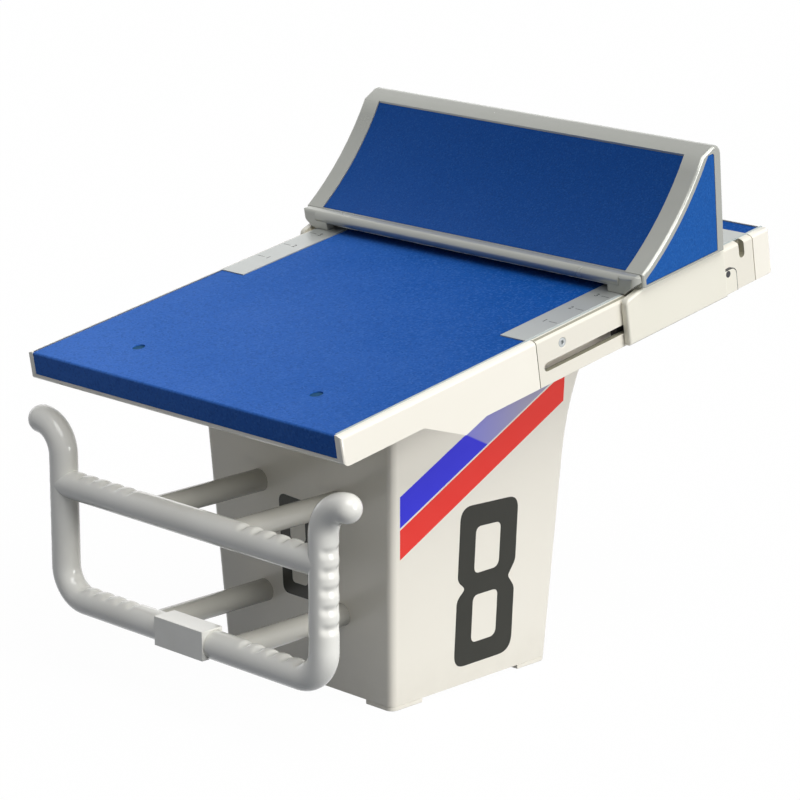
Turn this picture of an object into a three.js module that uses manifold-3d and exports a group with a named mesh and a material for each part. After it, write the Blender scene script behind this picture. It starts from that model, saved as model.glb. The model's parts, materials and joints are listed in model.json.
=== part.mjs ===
// Swimming starting block: pedestal, pitched platform, sliding back footrest and backstroke grips.
// Millimetres, +Z up, the water side faces -Y. The origin lies on the floor under the middle of the block.
import * as THREE from "three";
import { mergeVertices } from "three/addons/utils/BufferGeometryUtils.js";
import Module from "manifold-3d";

const wasm = await Module();
wasm.setup();

// Platform, measured along its pitched deck
const pitchAngle = THREE.MathUtils.degToRad(9.5);
const platformWidth = 540;
const platformHalf = platformWidth / 2;
const platformLength = 745;
const frontHeight = 405;
const railDepthFront = 37;
const railDepthRear = 59;
const railWidth = 18;
const railInner = platformHalf - railWidth;
const haunchStart = 126;
const haunchTip = 189;
const haunchDepth = 69.5;
const haunchEnd = 225;
const rimWidth = 10;
const deckHalf = platformHalf - rimWidth;
const rimDrop = 5;
const endRadius = 8;
const frontCorner = 4;
const rearCorner = 8;
const topWall = 6;
const channelWidth = 12;
const innerRailHalf = railInner - channelWidth;
const innerRailWall = 6;
const endWall = 9;

// Blue deck panel with its front apron and two recessed plugs
const deckThickness = 3;
const apronDrop = 28;
const deckRearMargin = 8;
const plugRadius = 8;
const plugThickness = 1.6;
const plugFront = 76;
const plugHalfSpacing = 153;

// Track inserts in the rails
const insertStart = 317;
const insertRearMargin = 36;
const insertEnd = platformLength - insertRearMargin;
const insertGap = 1.2;
const insertThickness = 8.7;
const slotFrontMargin = 9;
const slotRearMargin = 45;
const slotStart = insertStart + slotFrontMargin;
const slotEnd = insertEnd - slotRearMargin;
const slotHeight = 10.8;
const slotDepth = 37.4;
const indexPitch = 46;
const indexCount = 5;
const indexAtRest = 3;
const notchRearMargin = 21;
const lastNotch = insertEnd - notchRearMargin;
const notchWidth = 10;
const notchDepth = 22;
const screwFrontMargin = 43;
const screwRearMargin = 136;
const screwFront = insertStart + screwFrontMargin;
const screwRear = insertEnd - screwRearMargin;
const screwDepth = 17;
const screwHeadRadius = 6;
const screwShankRadius = 2.8;
const screwLength = 17;
const windowTop = 24;
const windowBottom = 51;
const windowRun = 6;

// Scale plates on the deck
const plateWidth = 40;
const plateLead = 7;
const plateInner = deckHalf - plateWidth;
const plateStart = insertStart - plateLead;
const plateProud = 1.2;

// Pedestal
const pedestalHalf = 145.5;
const pedestalFront = 202.5;
const pedestalDepth = 270;
const pedestalRear = pedestalFront + pedestalDepth;
const pedestalWall = 8;
const pedestalCorner = 10;
const taperAngle = THREE.MathUtils.degToRad(3.12);
const flareDrop = 155;
const flareRun = 180;
const flareStart = frontHeight - flareDrop;
const flareEnd = flareStart + flareRun;
const flareReach = 49;
const flarePowerShare = 2.5;
const flangeWidth = 24;
const flangeThickness = 8;
const padHeight = 5.5;
const padAlongFront = 44;
const padAlongSide = 52;
const baseThickness = 6;
const baseRim = 58;
const anchorInset = 32;

// Underside pan, bearers and the plate on the pedestal
const panThickness = 4;
const panLift = 5;
const panDeepStart = 169;
const topPlateThickness = 5;
const topPlateSpread = 2.5;
const topPlateTail = 12;
const topPlateHalf = pedestalHalf + topPlateSpread;
const topPlateStart = pedestalFront + topPlateSpread;
const topPlateEnd = pedestalRear + topPlateTail;
const bearerInset = 28;
const bearerHalfSpacing = topPlateHalf - bearerInset;
const bearerWidth = 40;
const bearerWall = 3;
const bearerLead = 29;
const bearerRearMargin = 45;
const bearerStart = topPlateStart - bearerLead;
const bearerEnd = platformLength - bearerRearMargin;
const boltRadius = 6;
const boltHeadRadius = 10;
const boltHeadHeight = 7.5;
const boltMargin = 39;
const platformBoltFront = topPlateStart + boltMargin;
const platformBoltRear = topPlateEnd - boltMargin;

// Backstroke grips
const tubeRadius = 17.5;
const tubeWall = 4.5;
const gripHalf = 225.7;
const gripSetback = 15.7;
const bottomBarHeight = 106;
const bendRadius = 38;
const hornRadius = 38;
const hornDrop = 124;
const crossbarDrop = 34;
const hornBaseHeight = frontHeight - hornDrop;
const crossbarHeight = hornBaseHeight - crossbarDrop;
const standoffRadius = 14;
const standoffWall = 3;
const standoffHalfSpacing = 67;
const clampThickness = 6;
const clampHeight = 56;
const clampMargin = 29;
const clampHalf = standoffHalfSpacing + clampMargin;
const sleeveHalf = 42;
const sleeveFront = 20;
const sleeveBack = 12;
const sleeveBelow = 16;
const sleeveAbove = 20;
const scoopRadius = 7;
const scoopDepth = 3;
const scoopPitch = 22.5;
const scoopCount = 5;
const scoopInset = 36.7;
const scoopDrop = 17.8;
const backLeanShare = 0.25;
const scoopOuter = gripHalf - scoopInset;
const sideScoopTop = hornBaseHeight - scoopDrop;

// Back footrest, measured from just behind the front of its skirts
const wedgeOverhang = 17;
const wedgeHalf = platformHalf + wedgeOverhang;
const wedgeHeight = 140.5;
const wedgeFloor = 8.3;
const wedgeWall = 8;
const edgeRadius = 4;
const noseRun = 24;
const noseHeight = 25;
const noseRadius = 7.7;
const noseFront = 9.8;
const noseInset = 3;
const noseHalf = wedgeHalf - noseInset;
const footRun = 123.5;
const footRise = 107.5;
const footSagitta = 8.5;
const backFoot = 173;
const backLean = 9;
const backTop = backFoot + backLean;
const crownRadius = 12;
const innerRadius = 2;
const ledgeWidth = 14;
const ledgeHeight = 5;
const ledgeEnd = 165;
const footrestMargin = 28.5;
const footrestHalf = wedgeHalf - footrestMargin;
const footrestThickness = 4;
const footrestRecess = 1.2;
const footBlockWidth = 44.2;
const footBlockFront = 12;
const footBlockCorner = 8;
const footBlockRound = 5;
const footBlockBevel = 18;
const footBlockLift = 13.6;
const sideBand = 8.7;
const sideLift = 2.6;
const sideCrown = 9;
const sideBack = 13;
const sideTip = 3;
const sideStart = 29;
const sideRecess = 2.5;
const backMargin = 32.5;
const backWindowHalf = wedgeHalf - backMargin;
const backWindowTop = 118;
const bailWindowTop = 50;
const backPanelThickness = 4;
const wedgeBaseThickness = 4.2;
const wedgeBaseOverhang = 12.5;
const wedgeBaseLedge = backFoot + wedgeBaseOverhang;
const glideInset = 4;
const glideInner = plateInner + glideInset;
const glideOuter = deckHalf - glideInset;
const glideStart = 28;
const glideEnd = 160;
const glideThickness = 1.8;
const skirtTop = 1;
const skirtBottom = 57;
const skirtGap = 1;
const skirtThickness = 9;
const skirtInner = platformHalf + skirtGap;
const skirtOuter = skirtInner + skirtThickness;
const skirtEdge = 3;
const skirtFrontRadius = 8;
const skirtLift = 4.7;
const skirtRise = 21;
const skirtRear = 180.5;
const tailRun = 24;
const tailThickness = 4;
const tailTop = 27;
const tailRadius = 8;
const bossFront = 17;
const bossRear = 135;
const bossRadius = 5;
const sliderLength = 40;
const sliderHeight = 22;
const sliderWidth = 10;

// Index bail and its handle
const bailPlace = 177;
const bailRadius = 6;
const bailHeight = 15;
const legThickness = 6;
const legWidth = 9.4;
const handleRadius = 5;
const handleHalf = 60;
const handleReach = 36;

// Fits
const seatGap = 0.3;
const runningGap = 0.4;
const overrun = 60;

// Facets on a full circle
const tubeSides = 16;
const roundSides = 24;

// Derived places
const insertInner = platformHalf - insertThickness;
const underside = railDepthRear - panLift;
const sinPitch = Math.sin(pitchAngle);
const cosPitch = Math.cos(pitchAngle);
const frontReach = sleeveFront - gripSetback;
const rearReach = platformLength * cosPitch + railDepthRear * sinPitch - endRadius * sinPitch;
const frontY = (frontReach - rearReach) / 2;
const indexTravel = plateProud + runningGap + notchDepth - seatGap;
const wedgeFront = notchPlace(indexAtRest) - bailPlace;
const legOuter = platformHalf - (insertThickness - legThickness) / 2;

const materials = {
  gelcoat: { color: 0xf2efe4, roughness: 0.3, metalness: 0 },
  deck: { color: 0x2c5aa8, roughness: 0.85, metalness: 0 },
  panel: { color: 0x1c4c96, roughness: 0.45, metalness: 0 },
  frame: { color: 0xc4c3ba, roughness: 0.4, metalness: 0 },
  steel: { color: 0xb8b9b5, roughness: 0.35, metalness: 1 },
  coated: { color: 0xe2e0d6, roughness: 0.3, metalness: 0 },
  dark: { color: 0x2e2f30, roughness: 0.6, metalness: 0 },
};

function addPart(parent, name, geometry, material) {
  const mesh = new THREE.Mesh(geometry, new THREE.MeshStandardMaterial(materials[material]));
  mesh.name = name;
  parent.add(mesh);
  return mesh;
}

// Closed three.js geometry to a solid for cutting and joining
function solid(geometry) {
  const bare = geometry.index ? geometry.toNonIndexed() : geometry.clone();
  bare.deleteAttribute("normal");
  bare.deleteAttribute("uv");
  const merged = mergeVertices(bare);
  return new wasm.Manifold(
    new wasm.Mesh({
      numProp: 3,
      vertProperties: Float32Array.from(merged.attributes.position.array),
      triVerts: Uint32Array.from(merged.index.array),
    }),
  );
}

// A solid back to three.js geometry
function geometryOf(body) {
  const mesh = body.getMesh();
  const geometry = new THREE.BufferGeometry();
  geometry.setAttribute("position", new THREE.BufferAttribute(Float32Array.from(mesh.vertProperties), 3));
  geometry.setIndex(new THREE.BufferAttribute(Uint32Array.from(mesh.triVerts), 1));
  geometry.computeVertexNormals();
  return geometry;
}

function box(x0, x1, y0, y1, z0, z1) {
  const geometry = new THREE.BoxGeometry(x1 - x0, y1 - y0, z1 - z0);
  geometry.translate((x0 + x1) / 2, (y0 + y1) / 2, (z0 + z1) / 2);
  return solid(geometry);
}

// A round bar from one point to another
function bar(from, to, radius, sides = roundSides, farRadius = radius) {
  const axis = new THREE.Vector3().subVectors(to, from);
  const geometry = new THREE.CylinderGeometry(farRadius, radius, axis.length(), sides);
  geometry.applyQuaternion(
    new THREE.Quaternion().setFromUnitVectors(new THREE.Vector3(0, 1, 0), axis.clone().normalize()),
  );
  geometry.translate((from.x + to.x) / 2, (from.y + to.y) / 2, (from.z + to.z) / 2);
  return solid(geometry);
}

// A side outline, given as [along, up] points, extruded across the block from x0 to x1
function across(points, x0, x1) {
  const shape = new THREE.Shape(points.map(([along, up]) => new THREE.Vector2(along, up)));
  const geometry = new THREE.ExtrudeGeometry(shape, { depth: x1 - x0, bevelEnabled: false });
  geometry.applyMatrix4(new THREE.Matrix4().set(0, 0, 1, x0, 1, 0, 0, 0, 0, 1, 0, 0, 0, 0, 0, 1));
  return solid(geometry);
}

// The same with both ends rounded
function acrossRounded(points, x0, x1, radius) {
  const shape = new THREE.Shape(points.map(([along, up]) => new THREE.Vector2(along, up)));
  const geometry = new THREE.ExtrudeGeometry(shape, {
    depth: x1 - x0 - 2 * radius,
    bevelEnabled: true,
    bevelThickness: radius,
    bevelSize: radius,
    bevelOffset: -radius,
    bevelSegments: 3,
  });
  geometry.applyMatrix4(new THREE.Matrix4().set(0, 0, 1, x0 + radius, 1, 0, 0, 0, 0, 1, 0, 0, 0, 0, 0, 1));
  return solid(geometry);
}

// A front outline, given as [x, up] points, extruded along the block from y0 to y1
function along(points, y0, y1) {
  const shape = new THREE.Shape(points.map(([x, up]) => new THREE.Vector2(x, up)));
  const geometry = new THREE.ExtrudeGeometry(shape, { depth: y1 - y0, bevelEnabled: false });
  geometry.rotateX(Math.PI / 2);
  geometry.translate(0, y1, 0);
  return solid(geometry);
}

// An outline seen from above, given as [x, y] points, extruded from z0 to z1
function upright(points, z0, z1) {
  const shape = new THREE.Shape(points.map(([x, y]) => new THREE.Vector2(x, y)));
  const geometry = new THREE.ExtrudeGeometry(shape, { depth: z1 - z0, bevelEnabled: false });
  geometry.translate(0, 0, z0);
  return solid(geometry);
}

// Points of an arc, angles in degrees, both ends included
function arc(cx, cy, radiusX, radiusY, fromDegrees, toDegrees, steps) {
  return Array.from({ length: steps + 1 }, (_, i) => {
    const angle = THREE.MathUtils.degToRad(fromDegrees + ((toDegrees - fromDegrees) * i) / steps);
    return [cx + radiusX * Math.cos(angle), cy + radiusY * Math.sin(angle)];
  });
}

function vector(x, y, z) {
  return new THREE.Vector3(x, y, z);
}

function mirrored(body) {
  return body.mirror([1, 0, 0]);
}

// Outline of the platform's side: front edge, shallow rail, haunch down to its tip, deep rail, rear end
function platformSide() {
  return [
    [0, 0],
    ...arc(endRadius, endRadius - railDepthFront, endRadius, endRadius, 180, 270, 4),
    [haunchStart, -railDepthFront],
    [haunchTip, -haunchDepth],
    [haunchEnd, -railDepthRear],
    ...arc(platformLength - endRadius, endRadius - railDepthRear, endRadius, endRadius, 270, 360, 3),
    ...arc(platformLength - endRadius, -endRadius, endRadius, endRadius, 0, 90, 3),
  ];
}

// Outline across the platform with its rolled top edges
function platformFront() {
  const right = arc(deckHalf, -rimDrop, rimWidth, rimDrop, 90, 0, 4);
  const left = right.map(([x, up]) => [-x, up]).reverse();
  const bottom = [
    [-platformHalf, -haunchDepth],
    [platformHalf, -haunchDepth],
  ];
  return [...bottom, ...right.reverse(), ...left.reverse()];
}

// Outline of the platform seen from above, its corners rounded
function platformPlan() {
  const front = arc(platformHalf - frontCorner, frontCorner, frontCorner, frontCorner, 270, 360, 5);
  const rearY = platformLength - rearCorner;
  const rear = arc(platformHalf - rearCorner, rearY, rearCorner, rearCorner, 0, 90, 4);
  const right = [...front, ...rear];
  const left = right.map(([x, y]) => [-x, y]).reverse();
  return [...right, ...left];
}

function platformBlank() {
  const side = across(platformSide(), -platformHalf, platformHalf);
  return side
    .intersect(along(platformFront(), -overrun, platformLength + overrun))
    .intersect(upright(platformPlan(), -platformLength, overrun));
}

function makePlatformShell() {
  const recess = deckThickness + seatGap;
  const deckRear = platformLength - deckRearMargin + seatGap;
  let shell = platformBlank()
    .subtract(box(-deckHalf, deckHalf, -overrun, deckRear, -recess, overrun))
    .subtract(box(-deckHalf, deckHalf, -overrun, recess, -apronDrop - seatGap, overrun));
  const ceiling = -recess - topWall;
  const inner = innerRailHalf - innerRailWall;
  const cavityStart = recess + endWall;
  const cavityEnd = platformLength - endWall;
  shell = shell.subtract(box(-inner, inner, cavityStart, cavityEnd, -railDepthRear - overrun, ceiling));
  const channel = box(innerRailHalf, railInner, cavityStart, cavityEnd, -railDepthRear - overrun, ceiling);
  const pocket = box(
    insertInner - seatGap, platformHalf + overrun, insertStart - insertGap, insertEnd + insertGap,
    -railDepthRear - overrun, overrun,
  );
  const window = box(
    railInner - seatGap, insertInner, slotStart - windowRun, slotEnd + 2 * windowRun,
    -windowBottom, -windowTop,
  );
  let cuts = channel.add(pocket).add(window);
  for (const place of [screwFront, screwRear]) {
    cuts = cuts.add(
      bar(vector(railInner - overrun, place, -screwDepth), vector(platformHalf, place, -screwDepth),
        screwShankRadius + seatGap),
    );
  }
  const behind = box(railInner - seatGap, insertInner, insertStart, insertEnd, -notchDepth, overrun);
  for (let index = 0; index < indexCount; index += 1) {
    cuts = cuts.add(notchCutter(notchPlace(index), railInner - seatGap).intersect(behind));
  }
  shell = shell.subtract(cuts).subtract(mirrored(cuts));
  return geometryOf(shell);
}

function makeDeckPanel() {
  const rear = platformLength - deckRearMargin;
  const side = [
    [0, -apronDrop],
    [deckThickness, -apronDrop],
    [deckThickness, -deckThickness],
    [rear, -deckThickness],
    [rear, 0],
    ...arc(deckThickness, -deckThickness, deckThickness, deckThickness, 90, 180, 3),
  ];
  const half = deckHalf - seatGap;
  let panel = across(side, -half, half);
  const cut = box(
    plateInner - seatGap, platformHalf, plateStart - seatGap, insertEnd + seatGap, -overrun, overrun,
  );
  panel = panel.subtract(cut).subtract(mirrored(cut));
  for (const x of [-plugHalfSpacing, plugHalfSpacing]) {
    panel = panel.subtract(bar(vector(x, plugFront, -overrun), vector(x, plugFront, overrun), plugRadius));
  }
  return geometryOf(panel);
}

function makeDeckPlug(x) {
  const bottom = -deckThickness;
  return geometryOf(
    bar(vector(x, plugFront, bottom), vector(x, plugFront, bottom + plugThickness), plugRadius - seatGap),
  );
}

function makeScalePlate() {
  return box(plateInner, deckHalf - seatGap, plateStart, insertEnd, -deckThickness, plateProud);
}

// Stadium cutter along the rail, through its thickness
function slotCutter(start, end, depth, height) {
  const radius = height / 2;
  const outline = [
    ...arc(start + radius, -depth, radius, radius, 90, 270, 6),
    ...arc(end - radius, -depth, radius, radius, 270, 450, 6),
  ];
  return across(outline, insertInner - overrun, platformHalf + overrun);
}

function notchPlace(index) {
  return lastNotch - (indexCount - 1 - index) * indexPitch;
}

function notchCutter(place, inner) {
  const radius = notchWidth / 2;
  const outline = [
    ...arc(place, radius - notchDepth, radius, radius, 180, 360, 6),
    [place + radius, overrun],
    [place - radius, overrun],
  ];
  return across(outline, inner, platformHalf + overrun);
}

function makeTrackInsert() {
  let insert = platformBlank().intersect(
    box(insertInner, platformHalf + overrun, insertStart, insertEnd, -railDepthRear - overrun, overrun),
  );
  insert = insert.subtract(slotCutter(slotStart, slotEnd, slotDepth, slotHeight));
  for (let index = 0; index < indexCount; index += 1) {
    insert = insert.subtract(notchCutter(notchPlace(index), railInner));
  }
  for (const place of [screwFront, screwRear]) {
    insert = insert.subtract(screwBody(place, seatGap));
  }
  return insert;
}

// Countersunk screw through an insert into the rail, with a socket in its head
function screwBody(place, clearance) {
  const head = platformHalf - seatGap;
  const neck = head - screwHeadRadius + screwShankRadius;
  const cone = bar(vector(neck, place, -screwDepth), vector(head + clearance, place, -screwDepth),
    screwShankRadius + clearance, roundSides, screwHeadRadius + 2 * clearance);
  const shank = bar(
    vector(head - screwLength, place, -screwDepth), vector(neck + seatGap, place, -screwDepth),
    screwShankRadius + clearance,
  );
  return cone.add(shank);
}

function makeInsertScrew(place) {
  const head = platformHalf - seatGap;
  const socket = bar(
    vector(head - screwShankRadius, place, -screwDepth), vector(head + overrun, place, -screwDepth),
    screwShankRadius, 6,
  );
  return screwBody(place, 0).subtract(socket);
}

function makePlatformPan() {
  const half = innerRailHalf - innerRailWall - seatGap;
  const start = deckThickness + endWall + 2 * seatGap;
  const end = platformLength - endWall - seatGap;
  const shallow = panLift - railDepthFront;
  const deep = panLift - railDepthRear;
  let pan = across(
    [
      [start, shallow],
      [haunchStart, shallow],
      [panDeepStart, deep],
      [end, deep],
      [end, deep + panThickness],
      [panDeepStart, deep + panThickness],
      [haunchStart, shallow + panThickness],
      [start, shallow + panThickness],
    ],
    -half, half,
  );
  for (const [x, place] of platformBoltSpots()) {
    pan = pan.subtract(bar(vector(x, place, -overrun * 2), vector(x, place, 0), boltRadius + seatGap));
  }
  return geometryOf(pan);
}

function platformBoltSpots() {
  return [-bearerHalfSpacing, bearerHalfSpacing].flatMap((x) => [
    [x, platformBoltFront],
    [x, platformBoltRear],
  ]);
}

function makeBearer(x) {
  const top = -deckThickness - seatGap - topWall - seatGap;
  const bottom = panThickness - underside + seatGap;
  const half = bearerWidth / 2;
  let bearer = box(x - half, x + half, bearerStart, bearerEnd, bottom, top).subtract(
    box(x - half + bearerWall, x + half - bearerWall, bearerStart - overrun, bearerEnd + overrun,
      bottom + bearerWall, top - bearerWall),
  );
  for (const place of [platformBoltFront, platformBoltRear]) {
    bearer = bearer.subtract(
      bar(vector(x, place, bottom - overrun), vector(x, place, bottom + 2 * bearerWall),
        boltRadius + seatGap),
    );
  }
  return geometryOf(bearer);
}

function makeTopPlate() {
  const top = -underside - seatGap;
  let plate = box(-topPlateHalf, topPlateHalf, topPlateStart, topPlateEnd, top - topPlateThickness, top);
  for (const [x, place] of platformBoltSpots()) {
    plate = plate.subtract(
      bar(vector(x, place, top - overrun), vector(x, place, top + overrun), boltRadius + seatGap),
    );
  }
  return geometryOf(plate);
}

function makePlatformBolt([x, place]) {
  const seat = -underside - seatGap - topPlateThickness - seatGap;
  const tip = panThickness - underside + seatGap + 3 * bearerWall;
  const head = bar(vector(x, place, seat - boltHeadHeight), vector(x, place, seat), boltHeadRadius, 6);
  const shank = bar(vector(x, place, seat - seatGap), vector(x, place, tip), boltRadius, tubeSides);
  return geometryOf(head.add(shank));
}

// One level of the pedestal: a rounded rectangle, drawn in by inset
function pedestalRing(height, inset) {
  const lean = Math.tan(taperAngle) * height;
  const rise = Math.max(0, height - flareStart) / (flareEnd - flareStart);
  const flare = flareReach * rise ** flarePowerShare;
  const half = pedestalHalf + lean - inset;
  const front = pedestalFront - lean + inset;
  const rear = pedestalRear + lean + flare - inset;
  const corner = Math.max(pedestalCorner - inset, seatGap);
  const corners = [
    [half - corner, rear - corner, 0],
    [corner - half, rear - corner, 90],
    [corner - half, front + corner, 180],
    [half - corner, front + corner, 270],
  ];
  return corners.flatMap(([x, y, turn]) =>
    arc(x, y, corner, corner, turn, turn + 90, 4).map(([px, py]) => vector(px, frontY + py, height)),
  );
}

// Closed solid through rings of equally many points
function loft(rings) {
  const size = rings[0].length;
  const positions = [];
  const triangle = (a, b, c) => positions.push(...a.toArray(), ...b.toArray(), ...c.toArray());
  for (let level = 0; level + 1 < rings.length; level += 1) {
    for (let i = 0; i < size; i += 1) {
      const j = (i + 1) % size;
      triangle(rings[level][i], rings[level][j], rings[level + 1][j]);
      triangle(rings[level][i], rings[level + 1][j], rings[level + 1][i]);
    }
  }
  const top = rings[rings.length - 1];
  for (let i = 1; i + 1 < size; i += 1) {
    triangle(rings[0][0], rings[0][i + 1], rings[0][i]);
    triangle(top[0], top[i], top[i + 1]);
  }
  const geometry = new THREE.BufferGeometry();
  geometry.setAttribute("position", new THREE.Float32BufferAttribute(positions, 3));
  return solid(geometry);
}

function pedestalBody(inset, bottom) {
  const levels = [bottom, flareStart];
  const flareSteps = 8;
  for (let step = 1; step <= flareSteps; step += 1) {
    levels.push(flareStart + ((flareEnd - flareStart) * step) / flareSteps);
  }
  levels.push(flareEnd + overrun);
  return loft(levels.map((height) => pedestalRing(height, inset)));
}

// Everything above a plane of the pitched platform, in the block's own frame
function aboveDeckPlane(depth) {
  const body = new THREE.BoxGeometry(4 * platformWidth, 4 * platformLength, 4 * platformLength);
  body.translate(0, 0, 2 * platformLength - depth);
  body.rotateX(pitchAngle);
  body.translate(0, frontY, frontHeight);
  return solid(body);
}

function makePedestal() {
  const bottom = padHeight + seatGap;
  const roof = underside + seatGap;
  const shelf = roof + topPlateThickness + seatGap;
  let shell = pedestalBody(0, bottom).subtract(aboveDeckPlane(roof));
  const hollow = pedestalBody(pedestalWall, bottom - overrun / 10).subtract(
    aboveDeckPlane(shelf + flangeThickness),
  );
  const mouth = pedestalBody(pedestalWall, flareStart).intersect(aboveDeckPlane(shelf));
  const flangeHole = pedestalBody(pedestalWall + flangeWidth, flareStart);
  shell = shell.subtract(hollow).subtract(mouth).subtract(flangeHole);
  for (const x of [-standoffHalfSpacing, standoffHalfSpacing]) {
    for (const height of [bottomBarHeight, crossbarHeight]) {
      shell = shell.subtract(
        bar(vector(x, frontY, height), vector(x, frontY + pedestalFront + overrun, height),
          standoffRadius + seatGap, tubeSides),
      );
    }
  }
  return geometryOf(shell);
}

// Pad under one corner of the pedestal, rounded with it
function footPad(sideX, sideY) {
  const x1 = pedestalHalf;
  const x0 = x1 - padAlongFront;
  const outer = frontY + (sideY < 0 ? pedestalFront : pedestalRear);
  const inner = outer - sideY * padAlongSide;
  const corner = pedestalCorner;
  const turn = sideY < 0 ? 270 : 0;
  const round = arc(x1 - corner, outer - sideY * corner, corner, corner, turn, turn + 90, 4);
  const outline = sideY < 0
    ? [[x0, outer], ...round, [x1, inner], [x0, inner]]
    : [[x0, inner], [x1, inner], ...round, [x0, outer]];
  const [x, y] = anchorSpot(1, sideY);
  const pad = upright(outline, 0, padHeight).subtract(
    bar(vector(x, y, -overrun), vector(x, y, overrun), boltRadius + seatGap, tubeSides),
  );
  return sideX < 0 ? mirrored(pad) : pad;
}

function anchorSpot(sideX, sideY) {
  const x = sideX * (pedestalHalf - anchorInset);
  const y = sideY < 0 ? pedestalFront + anchorInset : pedestalRear - anchorInset;
  return [x, frontY + y];
}

function makeBaseFrame() {
  const bottom = padHeight + seatGap;
  const half = pedestalHalf - pedestalWall - seatGap;
  const y0 = frontY + pedestalFront + pedestalWall + seatGap;
  const y1 = frontY + pedestalRear - pedestalWall - seatGap;
  let base = box(-half, half, y0, y1, bottom, bottom + baseThickness).subtract(
    box(baseRim - half, half - baseRim, y0 + baseRim, y1 - baseRim, bottom - overrun, bottom + overrun),
  );
  for (const sideX of [-1, 1]) {
    for (const sideY of [-1, 1]) {
      const [x, y] = anchorSpot(sideX, sideY);
      base = base.subtract(bar(vector(x, y, 0), vector(x, y, overrun), boltRadius + seatGap, tubeSides));
    }
  }
  return geometryOf(base);
}

function makeAnchorBolt(sideX, sideY) {
  const [x, y] = anchorSpot(sideX, sideY);
  const seat = padHeight + seatGap + baseThickness + seatGap;
  const head = bar(vector(x, y, seat), vector(x, y, seat + boltHeadHeight), boltHeadRadius, 6);
  const shank = bar(vector(x, y, seatGap), vector(x, y, seat + seatGap), boltRadius, tubeSides);
  return geometryOf(head.add(shank));
}

// Five finger grooves in a row, cut where fingers wrap round a bar
function scoops(centre, step, facing) {
  const axis = new THREE.Vector3().crossVectors(step, facing).normalize().multiplyScalar(tubeRadius * 2);
  const lift = tubeRadius + scoopRadius - scoopDepth;
  let cutter = null;
  for (let i = 0; i < scoopCount; i += 1) {
    const middle = centre
      .clone()
      .addScaledVector(step, i * scoopPitch)
      .addScaledVector(facing, lift);
    const one = bar(middle.clone().sub(axis), middle.clone().add(axis), scoopRadius, 30);
    cutter = cutter ? cutter.add(one) : one;
  }
  return cutter;
}

function bothBarScoops(height) {
  const facing = vector(0, backLeanShare, 1).normalize();
  const y = frontY + gripSetback;
  const right = scoops(vector(scoopOuter, y, height), vector(-1, 0, 0), facing);
  return right.add(mirrored(right));
}

function gripCurve() {
  const path = new THREE.CurvePath();
  const y = frontY + gripSetback;
  const hornX = gripHalf + hornRadius;
  const bendX = gripHalf - bendRadius;
  const bendZ = bottomBarHeight + bendRadius;
  const line = (x0, z0, x1, z1) => path.add(new THREE.LineCurve3(vector(x0, y, z0), vector(x1, y, z1)));
  const turn = (cx, cz, radius, from, to) => path.add(new PlaneArc(cx, y, cz, radius, from, to));
  turn(-hornX, hornBaseHeight, hornRadius, 90, 0);
  line(-gripHalf, hornBaseHeight, -gripHalf, bendZ);
  turn(-bendX, bendZ, bendRadius, 180, 270);
  line(-bendX, bottomBarHeight, bendX, bottomBarHeight);
  turn(bendX, bendZ, bendRadius, -90, 0);
  line(gripHalf, bendZ, gripHalf, hornBaseHeight);
  turn(hornX, hornBaseHeight, hornRadius, 180, 90);
  return path;
}

// Arc in an upright plane across the block, angles in degrees
class PlaneArc extends THREE.Curve {
  constructor(cx, y, cz, radius, from, to) {
    super();
    Object.assign(this, { cx, y, cz, radius, from, to });
  }

  getPoint(share, target = new THREE.Vector3()) {
    const angle = THREE.MathUtils.degToRad(this.from + (this.to - this.from) * share);
    const out = this.radius * Math.cos(angle);
    const up = this.radius * Math.sin(angle);
    return target.set(this.cx + out, this.y, this.cz + up);
  }
}

function makeGripLoop() {
  const ring = arc(0, 0, tubeRadius, tubeRadius, 0, 360, tubeSides).slice(0, -1);
  const section = new THREE.Shape(ring.map(([x, z]) => new THREE.Vector2(x, z)));
  const geometry = new THREE.ExtrudeGeometry(section, {
    steps: 76,
    bevelEnabled: false,
    extrudePath: gripCurve(),
  });
  const y = frontY + gripSetback;
  let loop = solid(geometry);
  for (const side of [-1, 1]) {
    const dome = new THREE.SphereGeometry(tubeRadius, tubeSides, 8);
    dome.rotateZ(Math.PI / 2);
    dome.translate(side * (gripHalf + hornRadius), y, hornBaseHeight + hornRadius);
    loop = loop.add(solid(dome));
  }
  loop = loop.subtract(bothBarScoops(bottomBarHeight));
  const facing = vector(1, 0, 0);
  const side = scoops(vector(gripHalf, y, sideScoopTop), vector(0, 0, -1), facing);
  return geometryOf(loop.subtract(side).subtract(mirrored(side)));
}

// Crossbar coped at both ends to the upright tubes
function makeCrossbar() {
  const y = frontY + gripSetback;
  const start = vector(-gripHalf, y, crossbarHeight);
  const end = vector(gripHalf, y, crossbarHeight);
  const body = bar(start, end, tubeRadius, tubeSides);
  const coping = bar(
    vector(gripHalf, y, crossbarHeight - overrun), vector(gripHalf, y, crossbarHeight + overrun),
    tubeRadius + seatGap, tubeSides * 2,
  );
  const bore = bar(start, end, tubeRadius - tubeWall, tubeSides);
  return geometryOf(
    body.subtract(coping).subtract(mirrored(coping)).subtract(bothBarScoops(crossbarHeight)).subtract(bore),
  );
}

function standoffEnd(height) {
  const lowest = height - clampHeight / 2;
  return frontY + pedestalFront - Math.tan(taperAngle) * lowest + pedestalWall + seatGap;
}

// Stand-off coped to its bar, through the pedestal's front wall to the clamp plate
function makeStandoff(x, height) {
  const y = frontY + gripSetback;
  const start = vector(x, y, height);
  const end = standoffEnd(height);
  const body = bar(start, vector(x, end - seatGap, height), standoffRadius, tubeSides);
  const coping = bar(vector(x - overrun, y, height), vector(x + overrun, y, height), tubeRadius + seatGap,
    tubeSides * 2);
  const bore = bar(start, vector(x, end, height), standoffRadius - standoffWall, tubeSides);
  return geometryOf(body.subtract(coping).subtract(bore));
}

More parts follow.
